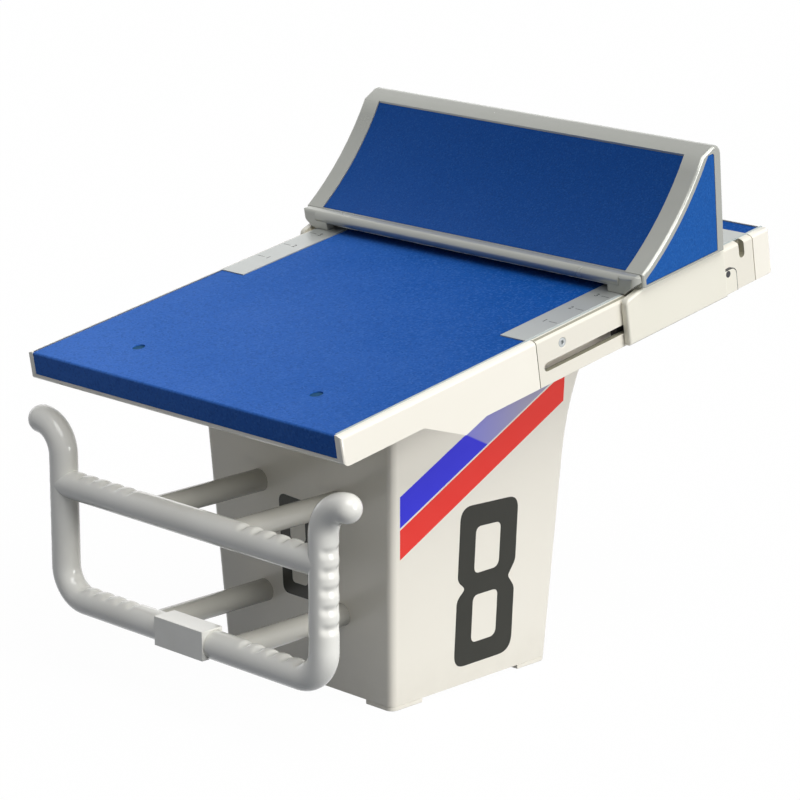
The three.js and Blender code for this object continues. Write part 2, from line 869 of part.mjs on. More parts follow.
function makeClampPlate(height) {
  const y = standoffEnd(height);
  return geometryOf(
    box(-clampHalf, clampHalf, y, y + clampThickness, height - clampHeight / 2, height + clampHeight / 2),
  );
}

// Saddle that hooks over the bottom bar from the front, open below and behind
function makeSleeve() {
  const y = frontY + gripSetback;
  const low = bottomBarHeight - sleeveBelow;
  const high = bottomBarHeight + sleeveAbove;
  const body = box(-sleeveHalf, sleeveHalf, y - sleeveFront, y + sleeveBack, low, high);
  const reach = sleeveHalf + overrun;
  const bore = bar(vector(-reach, y, bottomBarHeight), vector(reach, y, bottomBarHeight),
    tubeRadius + seatGap, tubeSides * 2);
  const open = box(-reach, reach, y, y + sleeveBack + overrun, low - overrun, bottomBarHeight);
  return geometryOf(body.subtract(bore).subtract(open));
}

// Radius of the footrest's hollow from its chord and sagitta
const footChord = Math.hypot(footRun, footRise);
const footRadius = footChord ** 2 / (8 * footSagitta) + footSagitta / 2;

// The footrest's hollow slope, drawn in by inset
const footAngle = Math.atan2(footRise, footRun);
const footHalfTurn = Math.asin(footChord / 2 / footRadius);

function footSlope(inset) {
  const reach = Math.sqrt(footRadius ** 2 - (footChord / 2) ** 2);
  const cx = noseRun + footRun / 2 - reach * Math.sin(footAngle);
  const cz = noseHeight + footRise / 2 + reach * Math.cos(footAngle);
  const middle = THREE.MathUtils.radToDeg(footAngle) - 90;
  const half = THREE.MathUtils.radToDeg(footHalfTurn);
  return arc(cx, cz, footRadius + inset, footRadius + inset, middle - half, middle + half, 8);
}

// Where the slope's lower end, carried on, meets the floor, and where the back stands at a height
function slopeFoot([along, up], floor) {
  return [along - (up - floor) / Math.tan(footAngle - footHalfTurn), floor];
}

function backAt(height) {
  return backFoot + (backLean * (height - wedgeFloor)) / (wedgeHeight - wedgeFloor);
}

// Outline of the footrest's side, every face drawn in by inset, down to the given height
function wedgeOutline(inset, floor) {
  const slope = footSlope(inset);
  const crown = wedgeHeight - inset;
  const round = Math.max(crownRadius - inset, innerRadius);
  return [
    inset > 0 ? slopeFoot(slope[0], floor) : [noseRun, floor],
    ...slope,
    ...arc(backAt(crown) - inset - round, crown - round, round, round, 100, 0, 4),
    [backAt(floor) - inset, floor],
  ];
}

// Outline of the triangle let into the frame's side, drawn in by a clearance
function sideOutline(clearance, floor) {
  const slope = footSlope(sideBand + clearance);
  const [[x0, z0], [x1, z1]] = slope.slice(-2);
  const top = wedgeHeight - sideCrown - clearance;
  const back = sideBack + clearance;
  return [
    slopeFoot(slope[0], floor),
    ...slope,
    [x1 + ((top - z1) * (x1 - x0)) / (z1 - z0), top],
    ...arc(backAt(top) - back - sideTip, top - sideTip, sideTip, sideTip, 90, 0, 3),
    [backAt(floor) - back, floor],
  ];
}

function makeWedgeFrame() {
  let frame = acrossRounded(wedgeOutline(0, -overrun), -wedgeHalf, wedgeHalf, edgeRadius);
  const inner = wedgeHalf - wedgeWall;
  const wide = wedgeHalf + overrun;
  frame = frame
    .subtract(box(-wide, wide, -overrun, backTop + overrun, -2 * overrun, wedgeFloor))
    .subtract(box(-wide, wide, -overrun, noseRun + seatGap, -overrun, wedgeHeight + overrun));
  const ledge = box(inner - ledgeWidth, inner + overrun, noseRun, ledgeEnd, 0, wedgeFloor + ledgeHeight);
  const cavity = across(wedgeOutline(footrestThickness + wedgeWall, -overrun), -inner, inner);
  frame = frame.subtract(cavity.subtract(ledge).subtract(mirrored(ledge)));
  frame = frame.subtract(footrestCutter());
  const recess = sideInlay(0, wedgeFloor + sideLift, wedgeHalf - sideRecess, wide);
  frame = frame.subtract(recess).subtract(mirrored(recess));
  const back = backFoot - overrun;
  frame = frame
    .subtract(box(-backWindowHalf, backWindowHalf, back, backTop + overrun, 0, backWindowTop))
    .subtract(box(-inner, inner, back, backTop + overrun, 0, bailWindowTop));
  return geometryOf(frame);
}

// The slope's length and height, drawn in by a gap
function footrestBand(half, gap) {
  return box(
    -half, half, noseRun + gap, noseRun + footRun - gap, noseHeight + gap, noseHeight + footRise - gap,
  );
}

// Room in the frame for the footrest panel
function footrestCutter() {
  const skin = across(wedgeOutline(-overrun, -2 * overrun), -footrestHalf, footrestHalf);
  const kept = across(wedgeOutline(footrestThickness + seatGap, -2 * overrun), -wedgeHalf, wedgeHalf);
  const band = footrestBand(footrestHalf, 0);
  return skin.subtract(kept).intersect(band);
}

function makeFootrest() {
  const half = footrestHalf - seatGap;
  const outer = across(wedgeOutline(footrestRecess, -2 * overrun), -half, half);
  const kept = across(wedgeOutline(footrestThickness, -2 * overrun), -wedgeHalf, wedgeHalf);
  return geometryOf(outer.subtract(kept).intersect(footrestBand(half, seatGap)));
}

// Triangle let into the side of the frame
function sideInlay(clearance, floor, x0, x1) {
  return across(sideOutline(clearance, floor), x0, x1).intersect(
    box(x0, x1, sideStart + clearance, backTop, floor, wedgeHeight),
  );
}

function makeSidePanel() {
  const outer = wedgeHalf - seatGap;
  return sideInlay(seatGap, wedgeFloor + sideLift + seatGap, outer - sideRecess + 2 * seatGap, outer);
}

// Round bar with a flat back between two end blocks, each with its foot on the scale plate
function makeNoseBar() {
  const top = noseHeight - seatGap;
  const middle = top - noseRadius;
  const centre = noseFront + noseRadius;
  const low = plateProud + runningGap;
  const inner = noseHalf - footBlockWidth;
  const nose = bar(vector(-footrestHalf, centre, middle), vector(footrestHalf, centre, middle), noseRadius)
    .add(box(-footrestHalf, footrestHalf, centre, noseRun, middle - noseRadius, top))
    .intersect(box(-footrestHalf, footrestHalf, 0, noseRun, 0, noseHeight));
  const front = [
    [inner, low],
    [noseHalf - footBlockBevel, low],
    [noseHalf, low + footBlockLift],
    ...arc(noseHalf - edgeRadius, top - edgeRadius, edgeRadius, edgeRadius, 0, 90, 4),
    [footrestHalf - noseRadius, top],
    [footrestHalf - noseRadius, middle],
    [inner, middle],
  ];
  const side = [
    [noseRun, low],
    [noseRun, top],
    ...arc(
      footBlockFront + footBlockRound, top - footBlockRound, footBlockRound, footBlockRound, 90, 180, 3,
    ),
    [footBlockFront, low],
  ];
  const corner = footBlockCorner;
  const plan = [
    [inner, footBlockFront],
    ...arc(noseHalf - corner, footBlockFront + corner, corner, corner, 270, 360, 4),
    [noseHalf, noseRun],
    [inner, noseRun],
  ];
  const block = along(front, footBlockFront, noseRun)
    .intersect(across(side, inner, noseHalf))
    .intersect(upright(plan, 0, noseHeight));
  return geometryOf(nose.add(block).add(mirrored(block)));
}

function makeSkirt() {
  const front = -skirtTop;
  const round = skirtFrontRadius;
  const outline = [
    ...arc(front + round, skirtTop - round, round, round, 180, 90, 3),
    [noseRun, skirtLift],
    [noseRun + skirtRise, wedgeFloor - seatGap],
    [skirtRear, wedgeFloor - seatGap],
    [skirtRear, -skirtBottom],
    [front, -skirtBottom],
  ];
  let skirt = acrossRounded(outline, skirtInner, skirtOuter, skirtEdge).add(
    across(outline, skirtInner, skirtOuter - skirtEdge),
  );
  const tail = [
    [skirtRear - tailRadius, -skirtBottom],
    [skirtRear + tailRun, -skirtBottom],
    ...arc(skirtRear + tailRun - tailRadius, -tailTop - tailRadius, tailRadius, tailRadius, 0, 90, 3),
    [skirtRear - tailRadius, -tailTop],
  ];
  skirt = skirt.add(across(tail, skirtInner, skirtInner + tailThickness));
  for (const place of [bossFront, bossRear]) {
    skirt = skirt.add(
      bar(vector(insertInner - sliderWidth / 2, place, -slotDepth),
        vector(skirtInner + skirtGap, place, -slotDepth), bossRadius, tubeSides),
    );
  }
  return skirt;
}

function makeSliderBlock(place) {
  const outer = insertInner - runningGap;
  const half = sliderLength / 2;
  return box(outer - sliderWidth, outer, place - half, place + half, -slotDepth - sliderHeight / 2,
    sliderHeight / 2 - slotDepth).subtract(
    bar(vector(outer - overrun, place, -slotDepth), vector(outer + overrun, place, -slotDepth),
      bossRadius + seatGap, tubeSides),
  );
}

function makeWedgeBase() {
  const half = platformHalf + skirtGap - seatGap;
  const top = wedgeFloor - seatGap;
  let base = box(-half, half, noseRun + seatGap, wedgeBaseLedge, top - wedgeBaseThickness, top);
  const gap = seatGap;
  const slot = box(legOuter - legThickness - gap, legOuter + gap, bailPlace - legWidth / 2 - gap,
    bailPlace + legWidth / 2 + gap, -overrun, overrun);
  return geometryOf(base.subtract(slot).subtract(mirrored(slot)));
}

function makeGlideStrip() {
  const top = wedgeFloor - 2 * seatGap - wedgeBaseThickness;
  return box(glideInner, glideOuter, glideStart, glideEnd, top - glideThickness, top);
}

function makeBackPanel() {
  const half = backWindowHalf - seatGap;
  const body = across(wedgeOutline(0, 0), -half, half).subtract(
    across(wedgeOutline(backPanelThickness, -overrun), -wedgeHalf, wedgeHalf),
  );
  const band = box(-half, half, (backFoot + noseRun + footRun) / 2, backTop + overrun,
    bailWindowTop + seatGap, backWindowTop - seatGap);
  return geometryOf(body.intersect(band));
}

// Crossbar inside the footrest with a flat leg down into each track insert
function makeBail() {
  const z = bailHeight + indexTravel;
  const half = legOuter - legThickness / 2;
  const bail = bar(vector(-half, bailPlace, z), vector(half, bailPlace, z), bailRadius, tubeSides);
  const tip = legWidth / 2;
  const outline = [
    ...arc(bailPlace, plateProud + runningGap + tip, tip, tip, 180, 360, 6),
    [bailPlace + tip, z + bailRadius],
    [bailPlace - tip, z + bailRadius],
  ];
  const leg = across(outline, legOuter - legThickness, legOuter);
  return geometryOf(bail.add(leg).add(mirrored(leg)));
}

function makeHandle() {
  const z = bailHeight + indexTravel;
  const far = bailPlace + handleReach;
  let handle = bar(vector(-handleHalf, far, z), vector(handleHalf, far, z), handleRadius, tubeSides);
  for (const x of [-handleHalf, handleHalf]) {
    const corner = new THREE.SphereGeometry(handleRadius, tubeSides, 8).translate(x, far, z);
    handle = handle
      .add(bar(vector(x, bailPlace, z), vector(x, far, z), handleRadius, tubeSides))
      .add(solid(corner));
  }
  const coping = bar(vector(-handleHalf * 2, bailPlace, z), vector(handleHalf * 2, bailPlace, z),
    bailRadius + seatGap, tubeSides * 2);
  return geometryOf(handle.subtract(coping));
}

const block = new THREE.Group();

const sides = [
  ["left", -1],
  ["right", 1],
];
const ends = [
  ["front", -1],
  ["rear", 1],
];

function addPair(parent, name, body, material) {
  addPart(parent, `${name}_right`, geometryOf(body), material);
  addPart(parent, `${name}_left`, geometryOf(mirrored(body)), material);
}

// Pedestal and its fixings
addPart(block, "pedestal_shell", makePedestal(), "gelcoat");
addPart(block, "base_frame", makeBaseFrame(), "steel");
for (const [side, sideX] of sides) {
  for (const [end, sideY] of ends) {
    addPart(block, `foot_pad_${end}_${side}`, geometryOf(footPad(sideX, sideY)), "gelcoat");
    addPart(block, `anchor_bolt_${end}_${side}`, makeAnchorBolt(sideX, sideY), "steel");
  }
}

// Backstroke grips
addPart(block, "grip_loop", makeGripLoop(), "coated");
addPart(block, "grip_crossbar", makeCrossbar(), "coated");
addPart(block, "grip_sleeve", makeSleeve(), "coated");
for (const [level, height] of [["lower", bottomBarHeight], ["upper", crossbarHeight]]) {
  addPart(block, `clamp_plate_${level}`, makeClampPlate(height), "steel");
  for (const [side, sideX] of sides) {
    addPart(block, `standoff_${level}_${side}`, makeStandoff(sideX * standoffHalfSpacing, height), "coated");
  }
}

// Platform, pitched down to the water
const platform = new THREE.Group();
platform.position.set(0, frontY, frontHeight);
platform.rotation.x = pitchAngle;
block.add(platform);
addPart(platform, "platform_shell", makePlatformShell(), "gelcoat");
addPart(platform, "deck_panel", makeDeckPanel(), "deck");
addPart(platform, "platform_pan", makePlatformPan(), "gelcoat");
addPart(platform, "top_plate", makeTopPlate(), "steel");
addPair(platform, "track_insert", makeTrackInsert(), "gelcoat");
addPair(platform, "scale_plate", makeScalePlate(), "steel");
[screwFront, screwRear].forEach((place, index) => {
  addPair(platform, `insert_screw_${ends[index][0]}`, makeInsertScrew(place), "steel");
});
for (const [side, sideX] of sides) {
  addPart(platform, `deck_plug_${side}`, makeDeckPlug(sideX * plugHalfSpacing), "deck");
  addPart(platform, `bearer_${side}`, makeBearer(sideX * bearerHalfSpacing), "steel");
}
platformBoltSpots().forEach((spot, index) => {
  const [side] = sides[Math.floor(index / 2)];
  addPart(platform, `platform_bolt_${ends[index % 2][0]}_${side}`, makePlatformBolt(spot), "steel");
});

// Back footrest, at the fourth of its five positions
const wedge = new THREE.Group();
wedge.position.y = wedgeFront;
platform.add(wedge);
addPart(wedge, "wedge_frame", makeWedgeFrame(), "frame");
addPart(wedge, "footrest_panel", makeFootrest(), "panel");
addPart(wedge, "nose_bar", makeNoseBar(), "frame");
addPart(wedge, "wedge_base", makeWedgeBase(), "steel");
addPart(wedge, "back_panel", makeBackPanel(), "frame");
addPair(wedge, "side_panel", makeSidePanel(), "panel");
addPair(wedge, "skirt", makeSkirt(), "gelcoat");
addPair(wedge, "glide_strip", makeGlideStrip(), "dark");
[bossFront, bossRear].forEach((place, index) => {
  addPair(wedge, `slider_block_${ends[index][0]}`, makeSliderBlock(place), "dark");
});

// Index bail, shown lifted clear of its notches
addPart(wedge, "index_bail", makeBail(), "steel");
addPart(wedge, "release_handle", makeHandle(), "dark");

export default block;
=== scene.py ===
import json
import math

import bmesh
import bpy
from mathutils import Matrix, Vector

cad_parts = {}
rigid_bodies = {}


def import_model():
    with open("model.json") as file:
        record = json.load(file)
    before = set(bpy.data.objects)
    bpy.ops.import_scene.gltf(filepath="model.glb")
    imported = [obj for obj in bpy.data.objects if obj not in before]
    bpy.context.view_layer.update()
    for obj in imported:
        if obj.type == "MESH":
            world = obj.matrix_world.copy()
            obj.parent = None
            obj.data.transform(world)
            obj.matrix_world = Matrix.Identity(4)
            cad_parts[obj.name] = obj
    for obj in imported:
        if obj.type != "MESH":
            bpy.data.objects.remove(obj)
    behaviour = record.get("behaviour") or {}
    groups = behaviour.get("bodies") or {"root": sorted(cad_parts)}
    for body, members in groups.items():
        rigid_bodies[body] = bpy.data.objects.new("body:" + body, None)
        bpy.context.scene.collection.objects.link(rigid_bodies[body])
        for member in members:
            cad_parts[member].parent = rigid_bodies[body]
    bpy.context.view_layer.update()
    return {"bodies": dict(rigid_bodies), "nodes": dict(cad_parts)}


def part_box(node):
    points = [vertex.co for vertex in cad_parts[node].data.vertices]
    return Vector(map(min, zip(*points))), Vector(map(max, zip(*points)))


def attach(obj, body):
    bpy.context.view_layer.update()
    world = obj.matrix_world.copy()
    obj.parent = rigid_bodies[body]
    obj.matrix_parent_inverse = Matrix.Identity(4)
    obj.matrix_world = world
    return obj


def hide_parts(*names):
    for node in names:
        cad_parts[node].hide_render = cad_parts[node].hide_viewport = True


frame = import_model()

# ---------------------------------------------------------------- Pedestal
# The pedestal is one hollow glass-fibre moulding, laid up in a mould against white gelcoat.
# Its faces lean in to the top, its corners are rounded, and its back sweeps out under the platform.


def linear(colour):
    """An sRGB hex colour as a linear one."""
    parts = [int(colour[i:i + 2], 16) / 255 for i in (1, 3, 5)]
    return [c / 12.92 if c <= 0.04045 else ((c + 0.055) / 1.055) ** 2.4 for c in parts] + [1]


def add_node(tree, kind, inputs=None, **settings):
    """A new node with its settings, and its inputs as values or links."""
    node = tree.nodes.new(kind)
    for name, value in settings.items():
        setattr(node, name, value)
    for name, value in (inputs or {}).items():
        if isinstance(value, bpy.types.NodeSocket):
            tree.links.new(value, node.inputs[name])
        else:
            node.inputs[name].default_value = value
    return node


def start_material(name):
    """A new material, its node tree, its shader and the place on the object in metres."""
    material = bpy.data.materials.new(name)
    material.use_nodes = True
    tree = material.node_tree
    place = add_node(tree, "ShaderNodeTexCoord").outputs["Object"]
    return material, tree, tree.nodes["Principled BSDF"], place


def gelcoat(name, light, shade):
    """Moulded gelcoat: glossy, with the orange peel of its mould and a little grime low down."""
    material, tree, shader, place = start_material(name)
    # Laminate shows through as slow mottling over about 120 mm
    mottle = add_node(tree, "ShaderNodeTexNoise", {"Vector": place, "Scale": 8, "Detail": 3})
    tone = add_node(
        tree, "ShaderNodeMix",
        {0: mottle.outputs["Fac"], 6: linear(light), 7: linear(shade)}, data_type="RGBA",
    )
    # Splashed grime fades out 60 mm above the floor, in spots of about 20 mm
    height = add_node(tree, "ShaderNodeSeparateXYZ", {"Vector": place})
    low = add_node(
        tree, "ShaderNodeMapRange",
        {
            "Value": height.outputs["Z"], "From Min": 0, "From Max": 0.06,
            "To Min": 0.18, "To Max": 0,
        },
    )
    spots = add_node(tree, "ShaderNodeTexNoise", {"Vector": place, "Scale": 50, "Detail": 5})
    grime = add_node(
        tree, "ShaderNodeMath", {0: low.outputs["Result"], 1: spots.outputs["Fac"]},
        operation="MULTIPLY",
    )
    soiled = add_node(
        tree, "ShaderNodeMix",
        {0: grime.outputs["Value"], 6: tone.outputs[2], 7: linear("#A49A82")}, data_type="RGBA",
    )
    tree.links.new(soiled.outputs[2], shader.inputs["Base Color"])
    # Handling dulls the gloss in patches of about 40 mm
    dulled = add_node(tree, "ShaderNodeTexNoise", {"Vector": place, "Scale": 25, "Detail": 6})
    gloss = add_node(
        tree, "ShaderNodeMapRange",
        {
            "Value": dulled.outputs["Fac"], "From Min": 0.3, "From Max": 0.7,
            "To Min": 0.21, "To Max": 0.27,
        },
    )
    tree.links.new(gloss.outputs["Result"], shader.inputs["Roughness"])
    # Orange peel of about 5 mm
    peel = add_node(tree, "ShaderNodeTexNoise", {"Vector": place, "Scale": 200, "Detail": 1})
    bump = add_node(
        tree, "ShaderNodeBump",
        {"Height": peel.outputs["Fac"], "Strength": 0.08, "Distance": 0.0004},
    )
    tree.links.new(bump.outputs["Normal"], shader.inputs["Normal"])
    return material


def body_of(node):
    """Name of the body that a CAD node rides on."""
    parent = frame["nodes"][node].parent
    return next(name for name, body in frame["bodies"].items() if body == parent)


def finish_piece(name, mesh, body, slot, material, *nodes):
    """A finished mesh as a piece that rides on a body and stands for its CAD nodes."""
    piece = bpy.data.objects.new(name, mesh)
    bpy.context.collection.objects.link(piece)
    mesh.materials.clear()
    mesh.materials.append(material)
    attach(piece, body)
    if nodes:
        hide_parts(*nodes)
    return piece


def smooth_mesh(shape, name, angle=35):
    """The bmesh as a mesh that is shaded smooth across edges flatter than the angle."""
    mesh = bpy.data.meshes.new(name)
    for face in shape.faces:
        face.smooth = True
    shape.to_mesh(mesh)
    shape.free()
    mesh.set_sharp_from_angle(angle=math.radians(angle))
    return mesh


def soften(node, slot, material, edge, angle=35):
    """A CAD node's copy with its sharp edges rounded as the maker breaks them."""
    shape = bmesh.new()
    shape.from_mesh(frame["nodes"][node].data)
    bmesh.ops.remove_doubles(shape, verts=shape.verts, dist=0.00002)
    bmesh.ops.dissolve_limit(
        shape, angle_limit=math.radians(0.4), verts=shape.verts, edges=shape.edges,
    )
    sharp = [
        e for e in shape.edges
        if len(e.link_faces) == 2 and e.calc_face_angle() > math.radians(angle)
    ]
    bmesh.ops.bevel(
        shape, geom=sharp, offset=edge, offset_type="OFFSET", affect="EDGES", segments=2,
        profile=0.5, material=-1, clamp_overlap=True,
    )
    mesh = smooth_mesh(shape, node + "_shape", angle)
    piece = finish_piece(node + "_piece", mesh, body_of(node), slot, material, node)
    flats = piece.modifiers.new("flats_stay_flat", "WEIGHTED_NORMAL")
    flats.keep_sharp = True
    return piece


pedestal_gelcoat = gelcoat("moulded_gelcoat_pedestal", "#F4EFE2", "#F1ECDE")
soften("pedestal_shell", "gelcoat", pedestal_gelcoat, 0.0015)

# ---------------------------------------------------------------- Foot pads
# Four pads of the same glass-fibre laminate and gelcoat are bonded on under the corners. They
# carry the pedestal, so that water runs out below its edge.
CORNERS = ("front_left", "front_right", "rear_left", "rear_right")
for node in CORNERS:
    soften("foot_pad_" + node, "gelcoat", pedestal_gelcoat, 0.0008)

# ---------------------------------------------------------------- Base frame, bolts, clamp plates
# A flat steel frame inside the foot is held down by four anchor bolts, and two plates behind the
# front wall clamp the grips. All are cut from plate and hot-dip galvanised, so they look spangled.


def hot_dip_zinc(name):
    """Zinc spangle of about 12 mm, dull and mottled."""
    material, tree, shader, place = start_material(name)
    shader.inputs["Metallic"].default_value = 1
    spangle = add_node(tree, "ShaderNodeTexVoronoi", {"Vector": place, "Scale": 80})
    crystal = add_node(tree, "ShaderNodeSeparateColor", {"Color": spangle.outputs["Color"]})
    tone = add_node(
        tree, "ShaderNodeMix",
        {0: crystal.outputs["Red"], 6: linear("#A9ACAC"), 7: linear("#C6C9C8")}, data_type="RGBA",
    )
    tree.links.new(tone.outputs[2], shader.inputs["Base Color"])
    dull = add_node(
        tree, "ShaderNodeMapRange",
        {"Value": crystal.outputs["Green"], "To Min": 0.35, "To Max": 0.6},
    )
    tree.links.new(dull.outputs["Result"], shader.inputs["Roughness"])
    return material


galvanised = hot_dip_zinc("hot_dip_galvanised_steel")
soften("base_frame", "steel", galvanised, 0.0006)
for node in CORNERS:
    soften("anchor_bolt_" + node, "steel", galvanised, 0.0008)
for node in ("clamp_plate_lower", "clamp_plate_upper"):
    soften(node, "steel", galvanised, 0.0006)

# ---------------------------------------------------------------- Lane number and stripes
# The number and the two slanting stripes are cut from self-adhesive vinyl film and pressed on
# the pedestal's flat faces. The film is thin, satin and crisp at its edges.
FRONT_Y = -0.36945
PEDESTAL_FRONT = 0.2025
PEDESTAL_HALF = 0.1455
PITCH = math.radians(9.5)
TAPER = math.tan(math.radians(3.12))
FILM = 0.00018
FILM_GAP = 0.00003


def vinyl(name, colour, faded):
    """Cast film: one even colour, faded a little by sun and chlorine, with a satin face."""
    material, tree, shader, place = start_material(name)
    shader.inputs["Specular IOR Level"].default_value = 0.3
    fade = add_node(tree, "ShaderNodeTexNoise", {"Vector": place, "Scale": 30, "Detail": 4})
    tone = add_node(
        tree, "ShaderNodeMix",
        {0: fade.outputs["Fac"], 6: linear(colour), 7: linear(faded)}, data_type="RGBA",
    )
    tree.links.new(tone.outputs[2], shader.inputs["Base Color"])
    # Squeegee marks of about 10 mm under the film
    marks = add_node(tree, "ShaderNodeTexNoise", {"Vector": place, "Scale": 100, "Detail": 2})
    gloss = add_node(
        tree, "ShaderNodeMapRange", {"Value": marks.outputs["Fac"], "To Min": 0.28, "To Max": 0.42},
    )
    tree.links.new(gloss.outputs["Result"], shader.inputs["Roughness"])
    bump = add_node(
        tree, "ShaderNodeBump",
        {"Height": marks.outputs["Fac"], "Strength": 0.05, "Distance": 0.0002},
    )
    tree.links.new(bump.outputs["Normal"], shader.inputs["Normal"])
    return material


def paint_light_on_film_end(material):
    """The blue film painted paler above a straight slanting line near its upper end: painted light,
    standing in for light thrown up there from the lit floor.
    """
    tree = material.node_tree
    shader = tree.nodes["Principled BSDF"]
    ground = shader.inputs["Base Color"].links[0].from_socket
    place = add_node(tree, "ShaderNodeTexCoord").outputs["Object"]
    spot = add_node(tree, "ShaderNodeSeparateXYZ", {"Vector": place})
    # The line falls towards the back from 323 mm up, 59 mm in front of the middle
    fall, start_y, start_z = 0.509, -0.059, 0.3233
    line = add_node(
        tree, "ShaderNodeMath", {0: spot.outputs["Y"], 1: fall, 2: -fall * start_y - start_z},
        operation="MULTIPLY_ADD",
    )
    above = add_node(
        tree, "ShaderNodeMath", {0: spot.outputs["Z"], 1: line.outputs["Value"]}, operation="ADD",
    )
    edge = add_node(
        tree, "ShaderNodeMapRange",
        {"Value": above.outputs["Value"], "From Min": 0, "From Max": 0.002},
    )
    run_out = add_node(
        tree, "ShaderNodeMapRange",
        {"Value": spot.outputs["Y"], "From Min": -0.05, "From Max": 0.04},
    )
    # Painted light: above the line the film is paler, lavender in front and greyer behind
    painted_light_tone = add_node(
        tree, "ShaderNodeMix",
        {0: run_out.outputs["Result"], 6: linear("#8F8FDC"), 7: linear("#A6A2BD")},
        data_type="RGBA",
    )
    both = add_node(
        tree, "ShaderNodeMix",
        {0: edge.outputs["Result"], 6: ground, 7: painted_light_tone.outputs[2]}, data_type="RGBA",
    )
    tree.links.new(both.outputs[2], shader.inputs["Base Color"])


number_vinyl = vinyl("vinyl_film_charcoal", "#25251E", "#2D2D26")
blue_vinyl = vinyl("vinyl_film_blue", "#3230DC", "#3A38E0")
paint_light_on_film_end(blue_vinyl)
red_vinyl = vinyl("vinyl_film_red", "#F0352B", "#F23F35")


def round_corners(corners):
    """Points of a polygon given as (u, v, radius), each corner turned on its radius."""
    points = []
    for i, (u, v, radius) in enumerate(corners):
        here = Vector((u, v))
        before = Vector(corners[i - 1][:2]) - here
        after = Vector(corners[(i + 1) % len(corners)][:2]) - here
        opening = before.angle(after)
        reach = min(radius / math.tan(opening / 2), before.length * 0.49, after.length * 0.49)
        first = here + before.normalized() * reach
        last = here + after.normalized() * reach
        for step in range(9):
            share = step / 8
            rest = 1 - share
            points.append(first * rest ** 2 + here * 2 * share * rest + last * share ** 2)
    return points


def number_outlines():
    """The block figure 8 on a unit of millimetres: outer edge and its two counters."""
    outer = [
        (0, 206, 18), (100, 201, 18), (100, 118, 18), (88, 100, 5), (100, 84, 16), (100, 0, 22),
        (0, 0, 18), (0, 88, 16), (14, 100, 5), (0, 112, 16),
    ]
    upper = [(28, 176, 9), (71, 174, 9), (71, 116, 11), (28, 116, 9)]
    lower = [(28, 88, 9), (71, 88, 9), (71, 27, 11), (28, 27, 9)]
    return outer, upper, lower


def film_mesh(name, outlines, scale, place):
    """Flat film with its holes, cut from outlines in millimetres and laid on a face."""
    curve = bpy.data.curves.new(name, "CURVE")
    curve.dimensions = "2D"
    curve.fill_mode = "BOTH"
    curve.extrude = FILM / 2
    for outline in outlines:
        points = round_corners(outline)
        spline = curve.splines.new("POLY")
        spline.points.add(len(points) - 1)
        spline.use_cyclic_u = True
        for target, point in zip(spline.points, points):
            target.co = (point.x * scale / 1000, point.y * scale / 1000, 0, 1)
    holder = bpy.data.objects.new(name, curve)
    mesh = bpy.data.meshes.new_from_object(holder)
    bpy.data.objects.remove(holder)
    mesh.transform(place)
    return mesh


def laid_on(spot, right, up, out):
    """Matrix that lays film drawn flat on a face, just clear of it."""
    clear = spot + out * (FILM_GAP + FILM / 2)
    return Matrix.Translation(clear) @ Matrix((right, up, out)).transposed().to_4x4()


def side_place(side, y, z):
    """Lays u towards the reader's right and v up on the pedestal's left (-1) or right (1) face."""
    up = Vector((side * TAPER, 0, 1)).normalized()
    right = Vector((0, side, 0))
    out = right.cross(up)
    spot = Vector((side * (PEDESTAL_HALF + TAPER * z), FRONT_Y + y, z))
    return laid_on(spot, right, up, out)


def front_place(x, z):
    """Lays u to the right and v up on the pedestal's front face."""
    up = Vector((0, -TAPER, 1)).normalized()
    right = Vector((1, 0, 0))
    out = right.cross(up)
    spot = Vector((x, FRONT_Y + PEDESTAL_FRONT - TAPER * z, z))
    return laid_on(spot, right, up, out)


for label, place, size in (
    ("right", side_place(1, 0.306, 0.029), 1.0),
    ("left", side_place(-1, 0.406, 0.029), 1.0),
    ("front", front_place(-0.034, 0.111), 0.62),
):
    mesh = film_mesh("lane_number_" + label, number_outlines(), size, place)
    finish_piece("lane_number_" + label, mesh, "base", "dark", number_vinyl)


def in_order(shape):
    """The same mesh built again in order of place, as some tools order it anew in each run."""
    points = sorted(shape.verts, key=lambda vertex: tuple(vertex.co))
    rank = {vertex: index for index, vertex in enumerate(points)}
    loops = [[rank[vertex] for vertex in face.verts] for face in shape.faces]
    ordered = bmesh.new()
    made = [ordered.verts.new(vertex.co) for vertex in points]
    for loop in sorted(loops, key=sorted):
        ordered.faces.new([made[index] for index in loop])
    shape.free()
    return ordered


